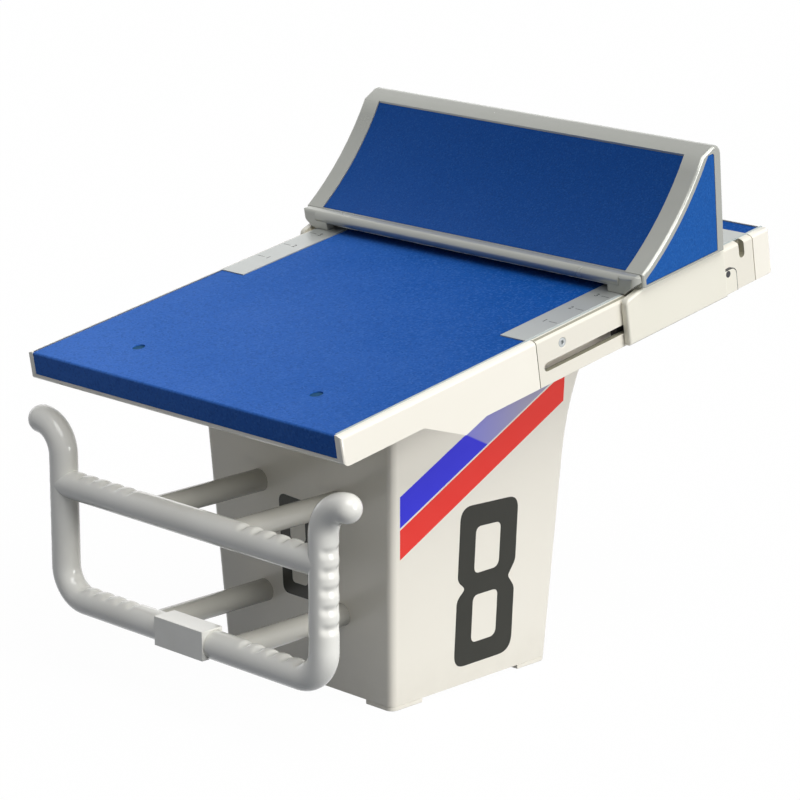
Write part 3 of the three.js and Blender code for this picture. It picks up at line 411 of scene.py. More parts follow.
def stripe_mesh(name, side, low, high, slope_low, slope_high, end):
    """A slanting stripe between two rising lines, trimmed at the corner, the end and the top."""
    shape = bmesh.new()
    bmesh.ops.create_grid(shape, x_segments=1, y_segments=1, size=0.5)
    start, length = 0.2, 0.36
    for vertex in shape.verts:
        y = start if vertex.co.x < 0 else start + length
        base, slope = (low, slope_low) if vertex.co.y < 0 else (high, slope_high)
        vertex.co = (0, y, base + slope * (y - start))
    corner, platform = 0.2163, 0.3475
    trims = [
        (Vector((0, corner, 0)), Vector((0, -1, -TAPER))),
        (Vector((0, end, 0)), Vector((0, 1, 0))),
        (Vector((0, 0, platform)), Vector((0, -math.tan(PITCH), 1))),
    ]
    for spot, away in trims:
        bmesh.ops.bisect_plane(
            shape, geom=shape.verts[:] + shape.edges[:] + shape.faces[:],
            plane_co=spot, plane_no=away, clear_outer=True,
        )
    face = side_place(side, 0, 0)
    for vertex in shape.verts:
        y, z = vertex.co.y, vertex.co.z
        vertex.co = face @ Vector((side * y, z / math.cos(math.atan(TAPER)), 0))
    bmesh.ops.recalc_face_normals(shape, faces=shape.faces)
    outward = face.to_3x3() @ Vector((0, 0, 1))
    if sum(f.normal.dot(outward) for f in shape.faces) < 0:
        bmesh.ops.reverse_faces(shape, faces=shape.faces)
    grown = bmesh.ops.extrude_face_region(shape, geom=shape.faces[:])
    moved = [v for v in grown["geom"] if isinstance(v, bmesh.types.BMVert)]
    bmesh.ops.translate(shape, verts=moved, vec=outward * FILM)
    bmesh.ops.translate(shape, verts=shape.verts, vec=outward * (-FILM / 2))
    bmesh.ops.recalc_face_normals(shape, faces=shape.faces)
    shape = in_order(shape)
    mesh = bpy.data.meshes.new(name)
    shape.to_mesh(mesh)
    shape.free()
    return mesh


for label, side in (("right", 1), ("left", -1)):
    blue = stripe_mesh("stripe_blue_" + label, side, 0.2295, 0.2694, 0.52, 0.515, 0.56)
    finish_piece("stripe_blue_" + label, blue, "base", "panel", blue_vinyl)
    red = stripe_mesh("stripe_red_" + label, side, 0.1883, 0.2265, 0.527, 0.522, 0.478)
    finish_piece("stripe_red_" + label, red, "base", "coated", red_vinyl)

# ---------------------------------------------------------------- Backstroke grips
# One tube is bent into two horns and a bottom bar, a second tube is welded across, and four short
# tubes hold them off the pedestal. They are coated in thick gloss white, with finger grooves.
BAR_RADIUS = 0.0175
GRIP_Y = FRONT_Y + 0.0157
GRIP_HALF = 0.2257
BOTTOM_BAR = 0.106
CROSSBAR = 0.247
HORN_BASE = 0.281
BEND = 0.038
WELD = 0.0005
STANDOFF_RADIUS = 0.014
STANDOFF_HALF = 0.067
TUBE_SIDES = 48
GROOVE_PITCH = 0.0225
GROOVE_COUNT = 5
GROOVE_DEPTH = 0.003
# The outermost groove of each row, from the middle along a bar and from the floor up an upright
BAR_GROOVE = 0.189
UPRIGHT_GROOVE = 0.2632
BACK_AND_UP = Vector((0, 0.25, 1)).normalized()


def fused_coat(name, light, shade):
    """Thick fused coat: creamy white, glossy and flowed smooth, a little worn in patches."""
    material, tree, shader, place = start_material(name)
    wear_and_sheen = add_node(tree, "ShaderNodeTexNoise", {"Vector": place, "Scale": 18, "Detail": 4})
    tone = add_node(
        tree, "ShaderNodeMix",
        {0: wear_and_sheen.outputs["Fac"], 6: linear(light), 7: linear(shade)}, data_type="RGBA",
    )
    tree.links.new(tone.outputs[2], shader.inputs["Base Color"])
    gloss = add_node(
        tree, "ShaderNodeMapRange",
        {
            "Value": wear_and_sheen.outputs["Fac"], "From Min": 0.3, "From Max": 0.7,
            "To Min": 0.08, "To Max": 0.16,
        },
    )
    tree.links.new(gloss.outputs["Result"], shader.inputs["Roughness"])
    # The fused coat flows out to ripples of about 8 mm
    flow = add_node(tree, "ShaderNodeTexNoise", {"Vector": place, "Scale": 120, "Detail": 1})
    bump = add_node(
        tree, "ShaderNodeBump",
        {"Height": flow.outputs["Fac"], "Strength": 0.1, "Distance": 0.0005},
    )
    tree.links.new(bump.outputs["Normal"], shader.inputs["Normal"])
    return material


coated = fused_coat("gloss_coated_steel_tube", "#F1F0E9", "#E2E0D7")
# The short tubes behind the bars get a greyer copy of the bars' coat: painted shade, standing in
# for the shadow they sit in
painted_shade_coat = fused_coat("gloss_coat_painted_shade", "#BDBBB2", "#B0AEA5")


def grooved(shape, name, rows):
    """The bar with rows of finger grooves pressed into it."""
    for centre, step, facing in rows:
        for vertex in shape.verts:
            offset = vertex.co - centre
            along = offset.dot(step) / GROOVE_PITCH
            radial = offset - step * offset.dot(step)
            if not -0.5 < along < GROOVE_COUNT - 0.5 or radial.length > BAR_RADIUS * 1.1:
                continue
            depth = GROOVE_DEPTH * (0.5 + 0.5 * math.cos(math.tau * along)) ** 2
            # Full depth within 37 degrees of its facing, and none past 60
            reach = (radial.normalized().dot(facing) - 0.5) / 0.3
            vertex.co -= radial.normalized() * depth * min(max(reach, 0), 1)
    bmesh.ops.recalc_face_normals(shape, faces=shape.faces)
    return smooth_mesh(in_order(shape), name, 60)


def bar_row(side, height):
    """A row of grooves on top of one half of a bar: first groove, step and facing."""
    return Vector((side * BAR_GROOVE, GRIP_Y, height)), Vector((-side, 0, 0)), BACK_AND_UP


def ring(shape, centre, axis, radius):
    """A circle of the tube, square to its axis."""
    made = bmesh.ops.create_circle(shape, cap_ends=False, segments=TUBE_SIDES, radius=radius)
    turn = Vector((0, 0, 1)).rotation_difference(axis).to_matrix().to_4x4()
    bmesh.ops.transform(shape, matrix=Matrix.Translation(centre) @ turn, verts=made["verts"])
    return list(dict.fromkeys(e for v in made["verts"] for e in v.link_edges))


def run(shape, edges, move, steps):
    """Draws the tube on in a straight line."""
    for _ in range(steps):
        grown = bmesh.ops.extrude_edge_only(shape, edges=edges)["geom"]
        bmesh.ops.translate(
            shape, verts=[g for g in grown if isinstance(g, bmesh.types.BMVert)], vec=move / steps,
        )
        edges = [g for g in grown if isinstance(g, bmesh.types.BMEdge)]
        edges = [e for e in edges if len(e.link_faces) == 1]
    return edges


def bend(shape, edges, centre, degrees):
    """Bends the tube round a centre in the plane across the block."""
    rim = list(dict.fromkeys(v for e in edges for v in e.verts))
    grown = bmesh.ops.spin(
        shape, geom=edges + rim, cent=centre, axis=(0, 1, 0), angle=math.radians(degrees),
        steps=16,
    )["geom_last"]
    return [g for g in grown if isinstance(g, bmesh.types.BMEdge)]


def dome(shape, edges, centre, axis):
    """Closes the tube with a half ball."""
    for step in range(1, 7):
        angle = math.radians(15 * step)
        grown = bmesh.ops.extrude_edge_only(shape, edges=edges)["geom"]
        for vertex in (g for g in grown if isinstance(g, bmesh.types.BMVert)):
            offset = vertex.co - centre
            radial = offset - axis * offset.dot(axis)
            vertex.co = centre + radial.normalized() * BAR_RADIUS * max(math.cos(angle), 1e-4)
            vertex.co += axis * BAR_RADIUS * math.sin(angle)
        edges = [g for g in grown if isinstance(g, bmesh.types.BMEdge) and len(g.link_faces) == 1]
    bmesh.ops.remove_doubles(shape, verts=shape.verts, dist=0.00001)


def grip_loop_mesh():
    """The bent tube, drawn from its left horn round to the right one."""
    shape = bmesh.new()
    tip = GRIP_HALF + BEND
    top = HORN_BASE + BEND
    edges = ring(shape, Vector((-tip, GRIP_Y, top)), Vector((1, 0, 0)), BAR_RADIUS)
    first = list(edges)
    edges = bend(shape, edges, Vector((-tip, GRIP_Y, HORN_BASE)), 90)
    edges = run(shape, edges, Vector((0, 0, BOTTOM_BAR + BEND - HORN_BASE)), 92)
    edges = bend(shape, edges, Vector((BEND - GRIP_HALF, GRIP_Y, BOTTOM_BAR + BEND)), -90)
    edges = run(shape, edges, Vector((2 * (GRIP_HALF - BEND), 0, 0)), 250)
    edges = bend(shape, edges, Vector((GRIP_HALF - BEND, GRIP_Y, BOTTOM_BAR + BEND)), -90)
    edges = run(shape, edges, Vector((0, 0, HORN_BASE - BOTTOM_BAR - BEND)), 92)
    edges = bend(shape, edges, Vector((tip, GRIP_Y, HORN_BASE)), 90)
    dome(shape, edges, Vector((tip, GRIP_Y, top)), Vector((1, 0, 0)))
    dome(shape, [e for e in first if e.is_valid], Vector((-tip, GRIP_Y, top)), Vector((-1, 0, 0)))
    rows = []
    for side in (-1, 1):
        rows.append(bar_row(side, BOTTOM_BAR))
        start = Vector((side * GRIP_HALF, GRIP_Y, UPRIGHT_GROOVE))
        rows.append((start, Vector((0, 0, -1)), Vector((side, 0, 0))))
    return grooved(shape, "grip_loop_shape", rows)


finish_piece("grip_loop_piece", grip_loop_mesh(), "base", "coated", coated, "grip_loop")


def crossbar_mesh():
    """The upper bar, its ends cut to the uprights' round and sunk in them by the weld."""
    shape = bmesh.new()
    inner = GRIP_HALF - BAR_RADIUS - 2 * WELD
    edges = ring(shape, Vector((-inner, GRIP_Y, CROSSBAR)), Vector((1, 0, 0)), BAR_RADIUS)
    first = list(edges)
    last = run(shape, edges, Vector((2 * inner, 0, 0)), 276)
    for side, ends in ((-1, first), (1, last)):
        grown = bmesh.ops.extrude_edge_only(shape, edges=ends)["geom"]
        for vertex in (g for g in grown if isinstance(g, bmesh.types.BMVert)):
            away = min(abs(vertex.co.y - GRIP_Y), BAR_RADIUS)
            vertex.co.x = side * (GRIP_HALF - math.sqrt(BAR_RADIUS ** 2 - away ** 2) + WELD)
    bmesh.ops.holes_fill(shape, edges=shape.edges[:], sides=0)
    return grooved(shape, "grip_crossbar_shape", [bar_row(side, CROSSBAR) for side in (-1, 1)])


finish_piece("grip_crossbar_piece", crossbar_mesh(), "base", "coated", coated, "grip_crossbar")


def standoff_mesh(x, z, end):
    """A short tube cut to lie on its bar, running into the pedestal's front wall."""
    shape = bmesh.new()
    start = GRIP_Y + BAR_RADIUS + WELD
    edges = ring(shape, Vector((x, start, z)), Vector((0, 1, 0)), STANDOFF_RADIUS)
    run(shape, edges, Vector((0, end - start, 0)), 12)
    for vertex in shape.verts:
        if vertex.co.y < start + 0.0001:
            away = min(abs(vertex.co.z - z), BAR_RADIUS)
            vertex.co.y = GRIP_Y + math.sqrt(BAR_RADIUS ** 2 - away ** 2)
    bmesh.ops.holes_fill(shape, edges=shape.edges[:], sides=0)
    bmesh.ops.recalc_face_normals(shape, faces=shape.faces)
    return smooth_mesh(in_order(shape), "standoff_shape", 60)


for level, z in (("lower", BOTTOM_BAR), ("upper", CROSSBAR)):
    for label, side in (("left", -1), ("right", 1)):
        node = f"standoff_{level}_{label}"
        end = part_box(node)[1][1]
        tube = standoff_mesh(side * STANDOFF_HALF, z, end)
        # The short tubes carry the copy of the coat with painted shade
        finish_piece(node + "_piece", tube, "base", "coated", painted_shade_coat, node)

soften("grip_sleeve", "coated", coated, 0.002, 50)

# ---------------------------------------------------------------- Platform
# The platform is a second glass-fibre moulding with rolled rails, shallow in front and deeper
# behind, closed from below by a pan. Two steel box bearers and a plate bolt it to the pedestal.
# The deck's own frame: y runs back up the slope from its front edge, 405 mm over the floor
DECK = Matrix.Translation((0, FRONT_Y, 0.405)) @ Matrix.Rotation(PITCH, 4, "X")
platform_gelcoat = gelcoat("moulded_gelcoat_platform", "#F8F3E6", "#F4EFE1")
soften("platform_shell", "gelcoat", platform_gelcoat, 0.0012)
soften("platform_pan", "gelcoat", platform_gelcoat, 0.0006)
for node in ("bearer_left", "bearer_right", "top_plate"):
    soften(node, "steel", galvanised, 0.0006)
for node in CORNERS:
    soften("platform_bolt_" + node, "steel", galvanised, 0.0006)

# ---------------------------------------------------------------- Deck panel and plugs
# The deck is a sheet of blue resin strewn with quartz sand, rough and matt, folded down over the
# front edge and sealed along its right edge; dark beads along its left and rear edges are painted
# shade. Two round plugs, a duller and greener blue, are cast into its front fixing holes.


def quartz_deck(name, grain, depth, wear_and_sheen, light, fleck, roughness, sheen):
    """Resin strewn with sand, in random patches, painted paler towards the front left corner as
    painted sheen and darker towards the back as painted shade.
    """
    material, tree, shader, place = start_material(name)
    shader.inputs["Specular IOR Level"].default_value = sheen
    slow = add_node(tree, "ShaderNodeTexNoise", {"Vector": place, "Scale": 9, "Detail": 4})
    # Painted light: the colour runs from the first tone at the front left, painted sheen, to the
    # second towards the back, painted shade
    along = add_node(
        tree, "ShaderNodeVectorMath", {0: place, 1: (0.8, 1, 0)}, operation="DOT_PRODUCT",
    )
    patchy = add_node(
        tree, "ShaderNodeMath", {0: slow.outputs["Fac"], 1: 0.2, 2: along.outputs["Value"]},
        operation="MULTIPLY_ADD",
    )
    painted_light_and_patches = add_node(
        tree, "ShaderNodeMapRange",
        {"Value": patchy.outputs["Value"], "From Min": -0.4, "From Max": 0.35},
    )
    ground = add_node(
        tree, "ShaderNodeMix",
        {0: painted_light_and_patches.outputs["Result"], 6: linear(wear_and_sheen), 7: linear(light)}, data_type="RGBA",
    )
    cells = add_node(tree, "ShaderNodeTexVoronoi", {"Vector": place, "Scale": 1 / grain})
    each = add_node(tree, "ShaderNodeSeparateColor", {"Color": cells.outputs["Color"]})
    pale = add_node(
        tree, "ShaderNodeMapRange",
        {
            "Value": each.outputs["Red"], "From Min": 0.62, "From Max": 1,
            "To Min": 0, "To Max": 0.22,
        },
    )
    flecked = add_node(
        tree, "ShaderNodeMix",
        {0: pale.outputs["Result"], 6: ground.outputs[2], 7: linear(fleck)}, data_type="RGBA",
    )
    deep = add_node(
        tree, "ShaderNodeMapRange",
        {
            "Value": each.outputs["Green"], "From Min": 0.6, "From Max": 1,
            "To Min": 0, "To Max": 0.2,
        },
    )
    shaded = add_node(
        tree, "ShaderNodeMix",
        {0: deep.outputs["Result"], 6: flecked.outputs[2], 7: linear("#10294F")}, data_type="RGBA",
    )
    tree.links.new(shaded.outputs[2], shader.inputs["Base Color"])
    dulled = add_node(
        tree, "ShaderNodeMapRange",
        {"Value": slow.outputs["Fac"], "To Min": roughness - 0.08, "To Max": roughness + 0.08},
    )
    tree.links.new(dulled.outputs["Result"], shader.inputs["Roughness"])
    bump = add_node(
        tree, "ShaderNodeBump",
        {"Height": cells.outputs["Distance"], "Strength": 0.3, "Distance": depth}, invert=True,
    )
    tree.links.new(bump.outputs["Normal"], shader.inputs["Normal"])
    return material


# The real sand is about 1 mm, drawn here at 2.4 mm because less doesn't show in the render
# The deck's two tones are painted sheen at the front left and painted shade towards the back
deck_grit = quartz_deck(
    "quartz_grit_resin_deck", 0.0024, 0.0005, "#4273C7", "#0C4D9D", "#5888D0", 0.5, 0.01,
)
soften("deck_panel", "deck", deck_grit, 0.0005)

# The right edge shows grey sealant; the dark navy beads along the left and rear edges are painted
# shade, dark strips standing in for the shadow in the gaps there
seam_sealant = gelcoat("grey_seam_sealant", "#B4BFBE", "#A9B3B1")
painted_shade_bead = gelcoat("navy_painted_shade_bead", "#152C4A", "#1B3558")
SEAM_X = 0.2598
SEAM_MIDDLE = 0.3715
SEAM_LENGTH = 0.737
SEAM_REAR = 0.7352


def seam_mesh(name, x, y, wide, long):
    """A flat bead along one edge of the deck panel, over its gap to the shell."""
    sunk, thick = 0.0001, 0.0011
    shape = bmesh.new()
    bmesh.ops.create_cube(shape, size=1)
    spot = Matrix.Translation((x, y, -sunk)) @ Matrix.Diagonal((wide, long, thick, 1))
    bmesh.ops.transform(shape, matrix=DECK @ spot, verts=shape.verts)
    bmesh.ops.bevel(
        shape, geom=shape.edges[:], offset=0.0004, offset_type="OFFSET", affect="EDGES", segments=2,
        profile=0.5, clamp_overlap=True,
    )
    return smooth_mesh(shape, name)


for label, x, y, wide, long, bead in (
    ("right", SEAM_X, SEAM_MIDDLE, 0.0032, SEAM_LENGTH, seam_sealant),
    ("left", -SEAM_X, SEAM_MIDDLE, 0.0032, SEAM_LENGTH, painted_shade_bead),
    ("rear", 0, SEAM_REAR, 0.516, 0.0036, painted_shade_bead),
):
    seam = seam_mesh("deck_seam_" + label, x, y, wide, long)
    finish_piece("deck_seam_" + label, seam, "base", "gelcoat", bead)

# The plugs' sand stands out less than the deck's
plug_resin = quartz_deck(
    "cast_resin_plug", 0.0024, 0.0003, "#164C74", "#114468", "#2A6290", 0.6, 0.08,
)
for label in ("left", "right"):
    soften("deck_plug_" + label, "deck", plug_resin, 0.0004)

# ---------------------------------------------------------------- Track inserts and screws
# The inserts are white cast-polymer bars let into the rails, milled with a long slot and five
# notches, and held by countersunk galvanised screws.
insert_gelcoat = gelcoat("cast_polymer_skin", "#EEE9DB", "#E9E4D5")
# Walls inside the slot and the notches get a greyer copy of the polymer: painted shade, standing in
# for the shadow inside them
painted_shade_wall = gelcoat("cast_polymer_painted_shade", "#9A9783", "#A4A18E")
INDEX_PITCH = 0.046
A_NOTCH = 0.504
NOTCH_HALF = 0.0057
NOTCH_HEIGHTS = (-0.0225, -0.0008)
SLOT_DEPTH = 0.0374
SLOT_HALF = 0.0061
SLOT_ENDS = (0.3255, 0.6645)


def milled(face):
    """Whether a face of an insert lies inside its slot or one of its five notches."""
    spot = DECK.inverted() @ face.center
    in_slot = abs(spot.z + SLOT_DEPTH) < SLOT_HALF and SLOT_ENDS[0] < spot.y < SLOT_ENDS[1]
    nearest = round((spot.y - A_NOTCH) / INDEX_PITCH) * INDEX_PITCH + A_NOTCH
    low, high = NOTCH_HEIGHTS
    in_notch = low < spot.z < high and abs(spot.y - nearest) < NOTCH_HALF
    return abs(face.normal.x) < 0.35 and (in_slot or in_notch)


for label in ("left", "right"):
    insert = soften("track_insert_" + label, "gelcoat", insert_gelcoat, 0.0006)
    # The slot's and notches' walls get the painted shade
    insert.data.materials.append(painted_shade_wall)
    for face in insert.data.polygons:
        face.material_index = int(milled(face))

for end in ("front", "rear"):
    for label in ("left", "right"):
        soften(f"insert_screw_{end}_{label}", "steel", galvanised, 0.0003)

# ---------------------------------------------------------------- Scale plates
# Each scale plate is brushed stainless sheet, let into the deck and engraved with a line and a
# number for each of the footrest's places, filled with dark enamel.


def brushed_steel(name, across, along):
    """Satin stainless sheet, its brush lines run across the block."""
    material, tree, shader, place = start_material(name)
    # Half metallic, matched to the sheet's dull pale grey
    shader.inputs["Metallic"].default_value = 0.5
    stretch = add_node(
        tree, "ShaderNodeMapping", {"Vector": place, "Scale": (across, along, along)},
    )
    lines = add_node(
        tree, "ShaderNodeTexNoise", {"Vector": stretch.outputs["Vector"], "Scale": 1, "Detail": 3},
    )
    tone = add_node(
        tree, "ShaderNodeMix",
        {0: lines.outputs["Fac"], 6: linear("#A9ACA9"), 7: linear("#B9BCB9")}, data_type="RGBA",
    )
    tree.links.new(tone.outputs[2], shader.inputs["Base Color"])
    gloss = add_node(
        tree, "ShaderNodeMapRange",
        {
            "Value": lines.outputs["Fac"], "From Min": 0.3, "From Max": 0.7,
            "To Min": 0.28, "To Max": 0.46,
        },
    )
    tree.links.new(gloss.outputs["Result"], shader.inputs["Roughness"])
    bump = add_node(
        tree, "ShaderNodeBump",
        {"Height": lines.outputs["Fac"], "Strength": 0.12, "Distance": 0.0001},
    )
    tree.links.new(bump.outputs["Normal"], shader.inputs["Normal"])
    return material


# Brush lines about 1 mm apart and 60 mm long, wider than real ones so that they show
stainless = brushed_steel("brushed_stainless_steel", 16, 900)
for label in ("left", "right"):
    soften("scale_plate_" + label, "plate", stainless, 0.0004)

# The enamel looks as the film does: one even dark colour, with a satin face
enamel = vinyl("engraving_enamel", "#2B2B2B", "#353535")
FIRST_MARK = 0.369
PLATE_FACE = 0.00125
TICK_X = 0.2495
TICK_LONG = 0.012
TICK_WIDE = 0.0008
FIGURE_X = 0.2365
FIGURE_SIZE = 0.011
ENAMEL = 0.0001


def engraving_mesh(name, side):
    """Ticks and small numbers along one plate, as thin enamel on its face."""
    shape = bmesh.new()
    places = [FIRST_MARK + index * INDEX_PITCH for index in range(5)]
    for place in places:
        made = bmesh.ops.create_cube(shape, size=1)
        spot = Matrix.Translation((side * TICK_X, place, PLATE_FACE))
        size = Matrix.Diagonal((TICK_LONG, TICK_WIDE, ENAMEL, 1))
        bmesh.ops.transform(shape, matrix=spot @ size, verts=made["verts"])
    for index, place in enumerate(places):
        words = bpy.data.curves.new(f"{name}_{index}", "FONT")
        words.body = str(index + 1)
        words.size = FIGURE_SIZE
        words.extrude = ENAMEL / 2
        words.align_x = "CENTER"
        words.align_y = "CENTER"
        holder = bpy.data.objects.new(f"{name}_{index}", words)
        figure = bpy.data.meshes.new_from_object(holder)
        bpy.data.objects.remove(holder)
        figure.transform(Matrix.Translation((side * FIGURE_X, place, PLATE_FACE)))
        shape.from_mesh(figure)
        bpy.data.meshes.remove(figure)
    shape.transform(DECK)
    mesh = bpy.data.meshes.new(name)
    shape.to_mesh(mesh)
    shape.free()
    return mesh


for label, side in (("left", -1), ("right", 1)):
    marks = engraving_mesh("scale_marks_" + label, side)
    finish_piece("scale_marks_" + label, marks, "base", "dark", enamel)

# ---------------------------------------------------------------- Back footrest
# The footrest is a light frame of cast aluminium, lacquered silver grey, with rounded edges. A
# grit panel is let into its hollow slope and a triangle into each side, and a bar closes its nose.


def flake_lacquer(name):
    """Silver-grey lacquer with fine metal flake: satin, its highlights sharp, rubbed in places."""
    material, tree, shader, place = start_material(name)
    shader.inputs["Metallic"].default_value = 0.3
    rubbed = add_node(tree, "ShaderNodeTexNoise", {"Vector": place, "Scale": 22, "Detail": 5})
    tone = add_node(
        tree, "ShaderNodeMix",
        {0: rubbed.outputs["Fac"], 6: linear("#B1B2AB"), 7: linear("#A7A8A0")}, data_type="RGBA",
    )
    tree.links.new(tone.outputs[2], shader.inputs["Base Color"])
    gloss = add_node(
        tree, "ShaderNodeMapRange",
        {
            "Value": rubbed.outputs["Fac"], "From Min": 0.3, "From Max": 0.7,
            "To Min": 0.2, "To Max": 0.28,
        },
    )
    tree.links.new(gloss.outputs["Result"], shader.inputs["Roughness"])
    grain = add_node(tree, "ShaderNodeTexNoise", {"Vector": place, "Scale": 650, "Detail": 2})
    bump = add_node(
        tree, "ShaderNodeBump",
        {"Height": grain.outputs["Fac"], "Strength": 0.08, "Distance": 0.0002},
    )
    tree.links.new(bump.outputs["Normal"], shader.inputs["Normal"])
    return material


lacquer = flake_lacquer("metal_flake_lacquer_on_aluminium")
for node in ("wedge_frame", "nose_bar", "back_panel"):
    soften(node, "frame", lacquer, 0.0006)
soften("wedge_base", "steel", galvanised, 0.0005)

footrest_grit = quartz_deck(
    "fine_grit_footrest", 0.0017, 0.0003, "#2056A6", "#10478F", "#366AAE", 0.45, 0.08,
)
soften("footrest_panel", "panel", footrest_grit, 0.0004)
side_grit = quartz_deck(
    "fine_grit_side_panel", 0.0017, 0.0003, "#1F5CAA", "#1C58A4", "#3C76BC", 0.45, 0.08,
)
for label in ("left", "right"):
    soften("side_panel_" + label, "panel", side_grit, 0.0004)

# ---------------------------------------------------------------- Skirts, sliders and glides
# A white moulded skirt hangs from each side of the footrest and clasps the rail. A thin dark line
# round its tail and a dark disc on it are painted shade, dark acetal standing in for the shadow
# along the tail plate's edges and in a small recess. Black acetal blocks behind it run in the
# insert's slot, and acetal strips slide on the scale plates.
skirt_gelcoat = gelcoat("moulded_skirt", "#EFEBDC", "#EAE6D6")


def turned_acetal(name):
    """Waxy black plastic with turning marks of about 1 mm."""
    material, tree, shader, place = start_material(name)
    bloom = add_node(tree, "ShaderNodeTexNoise", {"Vector": place, "Scale": 60, "Detail": 3})
    tone = add_node(
        tree, "ShaderNodeMix",
        {0: bloom.outputs["Fac"], 6: linear("#26272A"), 7: linear("#323336")}, data_type="RGBA",
    )
    tree.links.new(tone.outputs[2], shader.inputs["Base Color"])
    marks = add_node(tree, "ShaderNodeTexNoise", {"Vector": place, "Scale": 900, "Detail": 1})
    gloss = add_node(
        tree, "ShaderNodeMapRange", {"Value": marks.outputs["Fac"], "To Min": 0.35, "To Max": 0.55},
    )
    tree.links.new(gloss.outputs["Result"], shader.inputs["Roughness"])
    return material


acetal = turned_acetal("machined_black_acetal")
TAIL_FRONT = 0.648
TAIL_REAR = 0.67
TAIL_TOP = -0.026
TAIL_LOW = -0.057
TAIL_ROUND = 0.0085
TAIL_INNER = 0.2701
TAIL_OUTER = 0.2749
SHADE_LINE_WIDTH = 0.0009
SHADE_DOT_RADIUS = 0.0042


def tail_shade_line_mesh(name, side):
    """A thin dark strip round the top and rear edges of the skirt's tail plate, and a dark disc on
    it: painted shade for the shadow along its edges and in a small recess.
    """
    shape = bmesh.new()
    middle = Vector((TAIL_REAR - TAIL_ROUND, TAIL_TOP - TAIL_ROUND))
    outline = [Vector((TAIL_REAR, TAIL_LOW)), Vector((TAIL_REAR, middle.y))]
    for step in range(7):
        angle = math.radians(15 * step)
        outline.append(middle + Vector((math.cos(angle), math.sin(angle))) * TAIL_ROUND)
    outline.append(Vector((TAIL_FRONT, TAIL_TOP)))
    rows = []
    for i, point in enumerate(outline):
        run_on = (outline[min(i + 1, len(outline) - 1)] - outline[max(i - 1, 0)]).normalized()
        inward = point + Vector((-run_on.y, run_on.x)) * SHADE_LINE_WIDTH
        section = (
            (TAIL_INNER, point), (TAIL_OUTER, point), (TAIL_OUTER, inward), (TAIL_INNER, inward),
        )
        rows.append([shape.verts.new((side * x, spot.x, spot.y)) for x, spot in section])
    for near, far in zip(rows, rows[1:]):
        for i in range(4):
            shape.faces.new((near[i], near[(i + 1) % 4], far[(i + 1) % 4], far[i]))
    shape.faces.new(rows[0])
    shape.faces.new(rows[-1])
    # The dark disc is painted shade for a small recess
    shade_dot = bmesh.ops.create_cone(
        shape, cap_ends=True, segments=40, radius1=SHADE_DOT_RADIUS, radius2=SHADE_DOT_RADIUS,
        depth=0.0006,
    )
    spot = Matrix.Translation((side * 0.2748, 0.654, -0.0315))
    turn = Matrix.Rotation(math.radians(90), 4, "Y")
    bmesh.ops.transform(shape, matrix=spot @ turn, verts=shade_dot["verts"])
    bmesh.ops.transform(shape, matrix=DECK, verts=shape.verts)
    bmesh.ops.recalc_face_normals(shape, faces=shape.faces)
    return smooth_mesh(shape, name, 50)


for label, side in (("left", -1), ("right", 1)):
    soften("skirt_" + label, "gelcoat", skirt_gelcoat, 0.0006)
    # The tail's dark line and disc are painted shade
    shade_line = tail_shade_line_mesh("tail_shade_line_" + label, side)
    finish_piece("tail_shade_line_" + label, shade_line, "footrest", "dark", acetal)
    soften("glide_strip_" + label, "dark", acetal, 0.0003)
    soften("slider_block_front_" + label, "dark", acetal, 0.0006)
    soften("slider_block_rear_" + label, "dark", acetal, 0.0006)

# ---------------------------------------------------------------- Index bail and handle
# A steel bar inside the footrest drops a flat leg into a notch on each side, and a bent handle
# behind lifts it. The bail is stainless and the handle has the sliders' black plastic.
soften("index_bail", "steel", stainless, 0.0005, 40)
soften("release_handle", "dark", acetal, 0.0003, 40)

# ---------------------------------------------------------------- Studio
# A plain white floor, large soft lights from above and from the right, a weak one from behind on
# the left, and the camera at the photograph's viewing angle.
floor_mesh = bpy.data.meshes.new("floor")
floor_shape = bmesh.new()
bmesh.ops.create_circle(floor_shape, cap_ends=True, segments=96, radius=14)
floor_shape.to_mesh(floor_mesh)
floor_shape.free()
floor = bpy.data.objects.new("floor", floor_mesh)
bpy.context.collection.objects.link(floor)


def seen_directly(tree):
    """Whether a ray comes from the camera or off or through a glossy surface."""
    rays = add_node(tree, "ShaderNodeLightPath")
    seen = rays.outputs["Is Camera Ray"]
    for kind in ("Is Glossy Ray", "Is Transmission Ray"):
        both = add_node(
            tree, "ShaderNodeMath", {0: seen, 1: rays.outputs[kind]}, operation="MAXIMUM",
        )
        seen = both.outputs["Value"]
    return seen


paper = bpy.data.materials.new("matt_white_paper")
paper.use_nodes = True
tree = paper.node_tree
tree.nodes.clear()
matt = add_node(tree, "ShaderNodeBsdfDiffuse", {"Color": linear("#FAFAF8")})
white = add_node(tree, "ShaderNodeEmission", {"Color": (1, 1, 1, 1), "Strength": 1})
shadowed = add_node(
    tree, "ShaderNodeMixShader", {0: 0.98, 1: matt.outputs["BSDF"], 2: white.outputs["Emission"]},
)
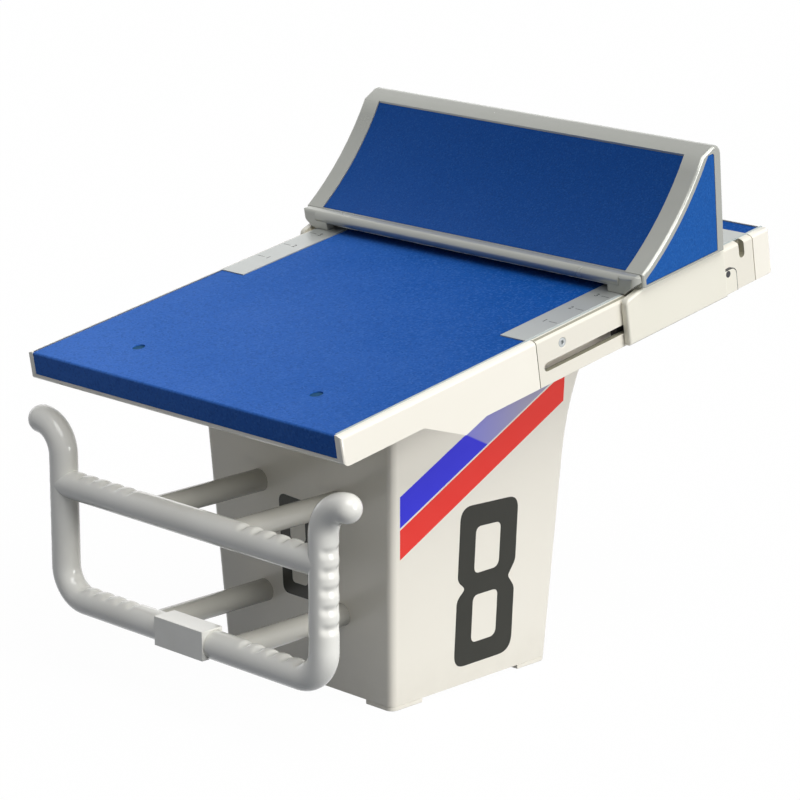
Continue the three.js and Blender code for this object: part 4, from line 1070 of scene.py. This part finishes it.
# To soft light the floor is grey, so that it throws little back up on the block
grey = add_node(tree, "ShaderNodeBsdfDiffuse", {"Color": linear("#6A6E74")})
mixed = add_node(
    tree, "ShaderNodeMixShader",
    {0: seen_directly(tree), 1: grey.outputs["BSDF"], 2: shadowed.outputs["Shader"]},
)
add_node(tree, "ShaderNodeOutputMaterial", {"Surface": mixed.outputs["Shader"]})
floor_mesh.materials.append(paper)

world = bpy.data.worlds.new("studio")
bpy.context.scene.world = world
world.use_nodes = True
tree = world.node_tree
tree.nodes.clear()
# The room is white to look at and dim and a little cool as light
dim = add_node(tree, "ShaderNodeBackground", {"Color": (0.93, 0.98, 1.12, 1), "Strength": 0.135})
bright = add_node(tree, "ShaderNodeBackground", {"Color": (1, 1, 1, 1), "Strength": 1})
mixed = add_node(
    tree, "ShaderNodeMixShader",
    {0: seen_directly(tree), 1: dim.outputs["Background"], 2: bright.outputs["Background"]},
)
add_node(tree, "ShaderNodeOutputWorld", {"Surface": mixed.outputs["Shader"]})

for name, direction, strength, spread in (
    ("key", (0.5, -0.17, 0.85), 2.0, 45),
    ("side", (1, 0.35, 0.35), 2.0, 35),
    ("back_fill", (-1, 0.4, 0.2), 0.5, 60),
):
    lamp = bpy.data.lights.new(name, "SUN")
    lamp.energy = strength
    lamp.angle = math.radians(spread)
    holder = bpy.data.objects.new(name, lamp)
    holder.rotation_euler = Vector(direction).to_track_quat("Z", "Y").to_euler()
    bpy.context.collection.objects.link(holder)

AZIMUTH = math.radians(44.98)
ELEVATION = math.radians(15.09)
DISTANCE = 4.0426
FOCAL_PIXELS = 3387.2
IMAGE_PIXELS = 800
target = Vector((0.0676, -0.0752, 0.3522))
direction = Vector((
    math.sin(AZIMUTH) * math.cos(ELEVATION),
    -math.cos(AZIMUTH) * math.cos(ELEVATION),
    math.sin(ELEVATION),
))
lens = bpy.data.cameras.new("camera")
lens.sensor_width = 36
lens.lens = FOCAL_PIXELS / IMAGE_PIXELS * lens.sensor_width
camera = bpy.data.objects.new("camera", lens)
camera.location = target + direction * DISTANCE
camera.rotation_euler = direction.to_track_quat("Z", "Y").to_euler()
bpy.context.collection.objects.link(camera)
bpy.context.scene.camera = camera
bpy.context.scene.view_settings.view_transform = "Standard"
